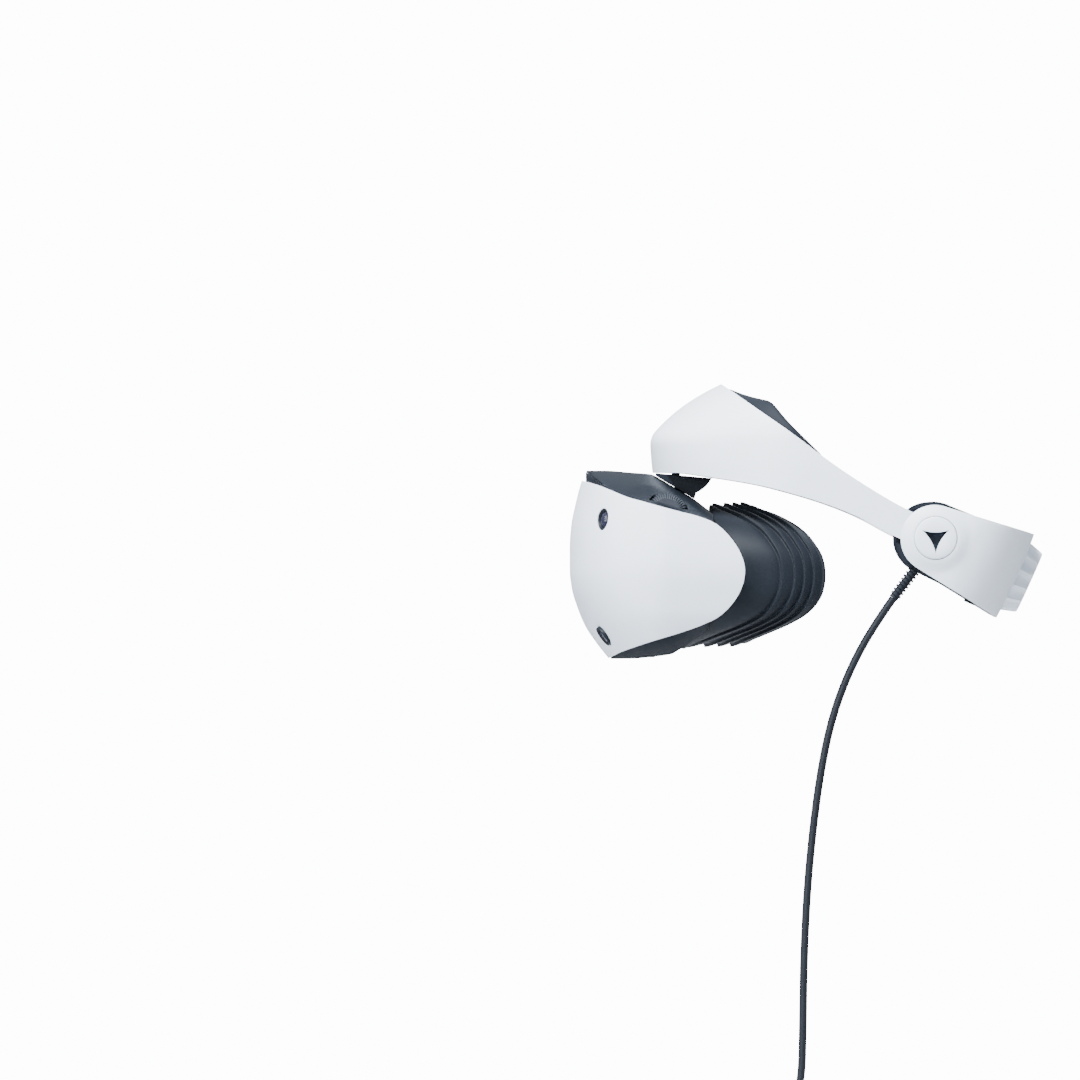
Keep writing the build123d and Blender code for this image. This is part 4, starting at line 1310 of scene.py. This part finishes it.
# ------------------------------------------------------------------ the cable
@dataclass
class CableRun:
    """The cable: it hangs from the strain relief and lies in a tied coil that ends at its plug."""

    radius: float = 2.2
    length: float = 4.5
    centre: tuple[float, float] = (50.8, -56.0)
    mean_r: float = 30.5
    low: float = -378.6
    columns: int = 4
    turns: float = 5.5
    per_turn: int = 18
    x: float = 81.5
    route: tuple[tuple[float, float], ...] = (
        (17.5, -60.1), (5.5, -77.0), (-7.5, -101.5), (-17.0, -128.0), (-23.0, -158.0), (-27.2, -190.0),
        (-30.3, -224.0), (-32.0, -262.0), (-32.5, -302.0), (-33.2, -326.0), (-37.5, -341.5))
    entry: tuple[Point, ...] = ((0, 33.0, -347.9), (0.055, 35.0, -349.0), (0.11, 36.7, -350.9),
                                (0.165, 37.1, -352.5))
    leaving: tuple[Point, ...] = ((0, 0, -351.3), (0.055, 0, -350.0), (0.11, 0, -348.4), (0.165, 0.2, -347.4))
    over_tie: tuple[Point, ...] = (
        (57.5, -82.0, -346.7), (50.8, -85.6, -346.4), (42.5, -87.3, -346.8), (34.3, -87.5, -347.6),
        (28.9, -86.4, -347.7), (24.4, -83.4, -347.5), (21.4, -78.9, -347.0), (20.3, -74.5, -346.65))

    def around(self, turn: float, radius: float, z: float) -> Vector:
        """A point at a number of turns round the coil, clockwise seen from above."""
        x, y = self.centre
        angle = turn * 2 * math.pi
        return Vector((x + radius * math.cos(angle), y - radius * math.sin(angle), z))

    def winding(self, turn: float) -> Vector:
        """A point of the wound coil: columns side by side, the outermost first, down and up by turns.

        Args:
            turn: how many turns along.

        Returns:
            The point, in millimetres.
        """
        pitch = 2 * self.radius
        base, top = self.low + self.radius, self.low + self.radius + pitch * self.turns
        column = min(self.columns - 1, int(turn / self.turns))
        part = turn / self.turns - column
        shift = sum(smooth_step((turn - k * self.turns + 0.12) / 0.24) for k in range(1, self.columns))
        z = top + (base - top) * part if column % 2 == 0 else base + (top - base) * part
        return self.around(turn, self.mean_r + pitch * (1.5 - shift), z)

    def points(self) -> list[Vector]:
        """The cable's own line, from the strain relief through the coil to the plug.

        Returns:
            Its points, in millimetres.
        """
        line = [Vector((self.x, y, z)) for y, z in self.route]
        line.append(Vector((82.4, -45.5, -346.4)))
        line += [self.around(*spot) for spot in self.entry]
        total = round(self.columns * self.turns * self.per_turn)
        line += [self.winding(k / self.per_turn) for k in range(4, total)]
        inner = self.mean_r - 3 * self.radius
        line += [self.around(turn, inner + wider, z) for turn, wider, z in self.leaving]
        return line + [Vector(spot) for spot in self.over_tie]

    def build(self) -> None:
        curve = bpy.data.curves.new("cable_run", "CURVE")
        curve.dimensions = "3D"
        points = self.points()
        spline = curve.splines.new("NURBS")
        spline.points.add(len(points) - 1)
        for knot, spot in zip(spline.points, points):
            knot.co = (*(spot * MM), 1)
        spline.order_u = 3
        spline.use_endpoint_u = True
        curve.bevel_depth = self.radius * MM
        curve.bevel_resolution = 4
        curve.resolution_u = 4
        curve.use_fill_caps = True
        run = linked("cable_run", curve)
        curve.materials.append(JACKET.make())
        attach(run, Body.REAR.value)
        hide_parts("cable", "cable_coil")
        LOG.info("cable line %.3f m", sum((b - a).length for a, b in zip(points, points[1:])) * MM)
        dress(JACKET, "usb_plug_body")
        dress(STEEL, "usb_plug_tip")
        dress(RUBBER, "cable_tie")


# ------------------------------------------------------------------ the studio
@dataclass
class Studio:
    """A plain white studio seen from the wearer's left."""

    aim: Vector = field(default_factory=lambda: Vector((0.0, -0.1779, -0.0278)))
    width: float = 0.6005
    lens: float = 1000.0
    sensor: float = 36.0

    def build(self) -> None:
        """Set the world, the floor, the lamps and the camera."""
        self.world()
        self.floor()
        self.lamp("key", (0.85, -0.45, 1.35), 0.6, 112.0, (0.95, 0.975, 1.0))
        self.lamp("side", (1.7, -0.9, 0.35), 0.8, 30.0, (0.90, 0.95, 1.0))
        self.lamp("rim", (-0.9, 0.9, 0.9), 0.9, 16.0, (0.92, 0.96, 1.0))
        self.lamp("front", (0.0, -1.6, 0.3), 0.8, 12.0, (0.95, 0.98, 1.0))
        self.camera()

    @staticmethod
    def world() -> None:
        """A white backdrop for the camera, and a softer sky that is darker below for everything else."""
        world = bpy.data.worlds.new("studio_world")
        world.use_nodes = True
        nodes, links = world.node_tree.nodes, world.node_tree.links
        sky = tuned(nodes["Background"], {"Color": (0.86, 0.93, 1.0, 1)})
        backdrop = tuned(nodes.new("ShaderNodeBackground"), {"Color": (0.98, 0.99, 1.0, 1), "Strength": 14.0})
        place = nodes.new("ShaderNodeTexCoord")
        parts = nodes.new("ShaderNodeSeparateXYZ")
        height = tuned(nodes.new("ShaderNodeMapRange"), {
            "From Min": -0.2, "From Max": 0.9, "To Min": 0.05, "To Max": 1.15})
        ray = nodes.new("ShaderNodeLightPath")
        mix = nodes.new("ShaderNodeMixShader")
        links.new(place.outputs["Generated"], parts.inputs["Vector"])
        links.new(parts.outputs["Z"], height.inputs["Value"])
        links.new(height.outputs["Result"], sky.inputs["Strength"])
        links.new(ray.outputs["Is Camera Ray"], mix.inputs["Fac"])
        links.new(sky.outputs["Background"], mix.inputs[1])
        links.new(backdrop.outputs["Background"], mix.inputs[2])
        links.new(mix.outputs["Shader"], nodes["World Output"].inputs["Surface"])
        bpy.context.scene.world = world

    @staticmethod
    def floor() -> None:
        """A round floor under the hanging cable."""
        bm = bmesh.new()
        bmesh.ops.create_circle(bm, cap_ends=True, segments=128, radius=1.05,
                                matrix=Matrix.Translation((0, 0, -0.3815)))
        mesh = bpy.data.meshes.new("floor")
        bm.to_mesh(mesh)
        bm.free()
        floor = linked("floor", mesh)
        mesh.materials.append(FLOOR.make())

    @staticmethod
    def lamp(name: str, spot: Point, size: float, power: float, colour: Point) -> None:
        """Hang a round area lamp that looks at the headset.

        Args:
            name: its name.
            spot: where it hangs, in metres.
            size: how wide it is, in metres.
            power: its watts.
            colour: the colour of its light.
        """
        data = bpy.data.lights.new(name, "AREA")
        data.shape = "DISK"
        data.size = size
        data.energy = power
        data.color = colour
        lamp = linked(name, data)
        lamp.location = spot
        lamp.rotation_euler = (Vector((0, -0.03, -0.03)) - Vector(spot)).to_track_quat("-Z", "Y").to_euler()

    def camera(self) -> None:
        """Set the long-lens camera that looks along -x."""
        data = bpy.data.cameras.new("view")
        data.lens = self.lens
        data.sensor_width = self.sensor
        data.clip_end = 60.0
        camera = linked("view", data)
        camera.location = self.aim + Vector((self.width * self.lens / self.sensor, 0, 0))
        camera.rotation_euler = (math.pi / 2, 0, math.pi / 2)
        bpy.context.scene.camera = camera


def main() -> None:
    """Build the headset and its studio."""
    logging.basicConfig(level=logging.INFO)
    Scope().build()
    Headband().build()
    RearUnit().build()
    CableRun().build()
    Studio().build()


if __name__ == "__main__":
    main()
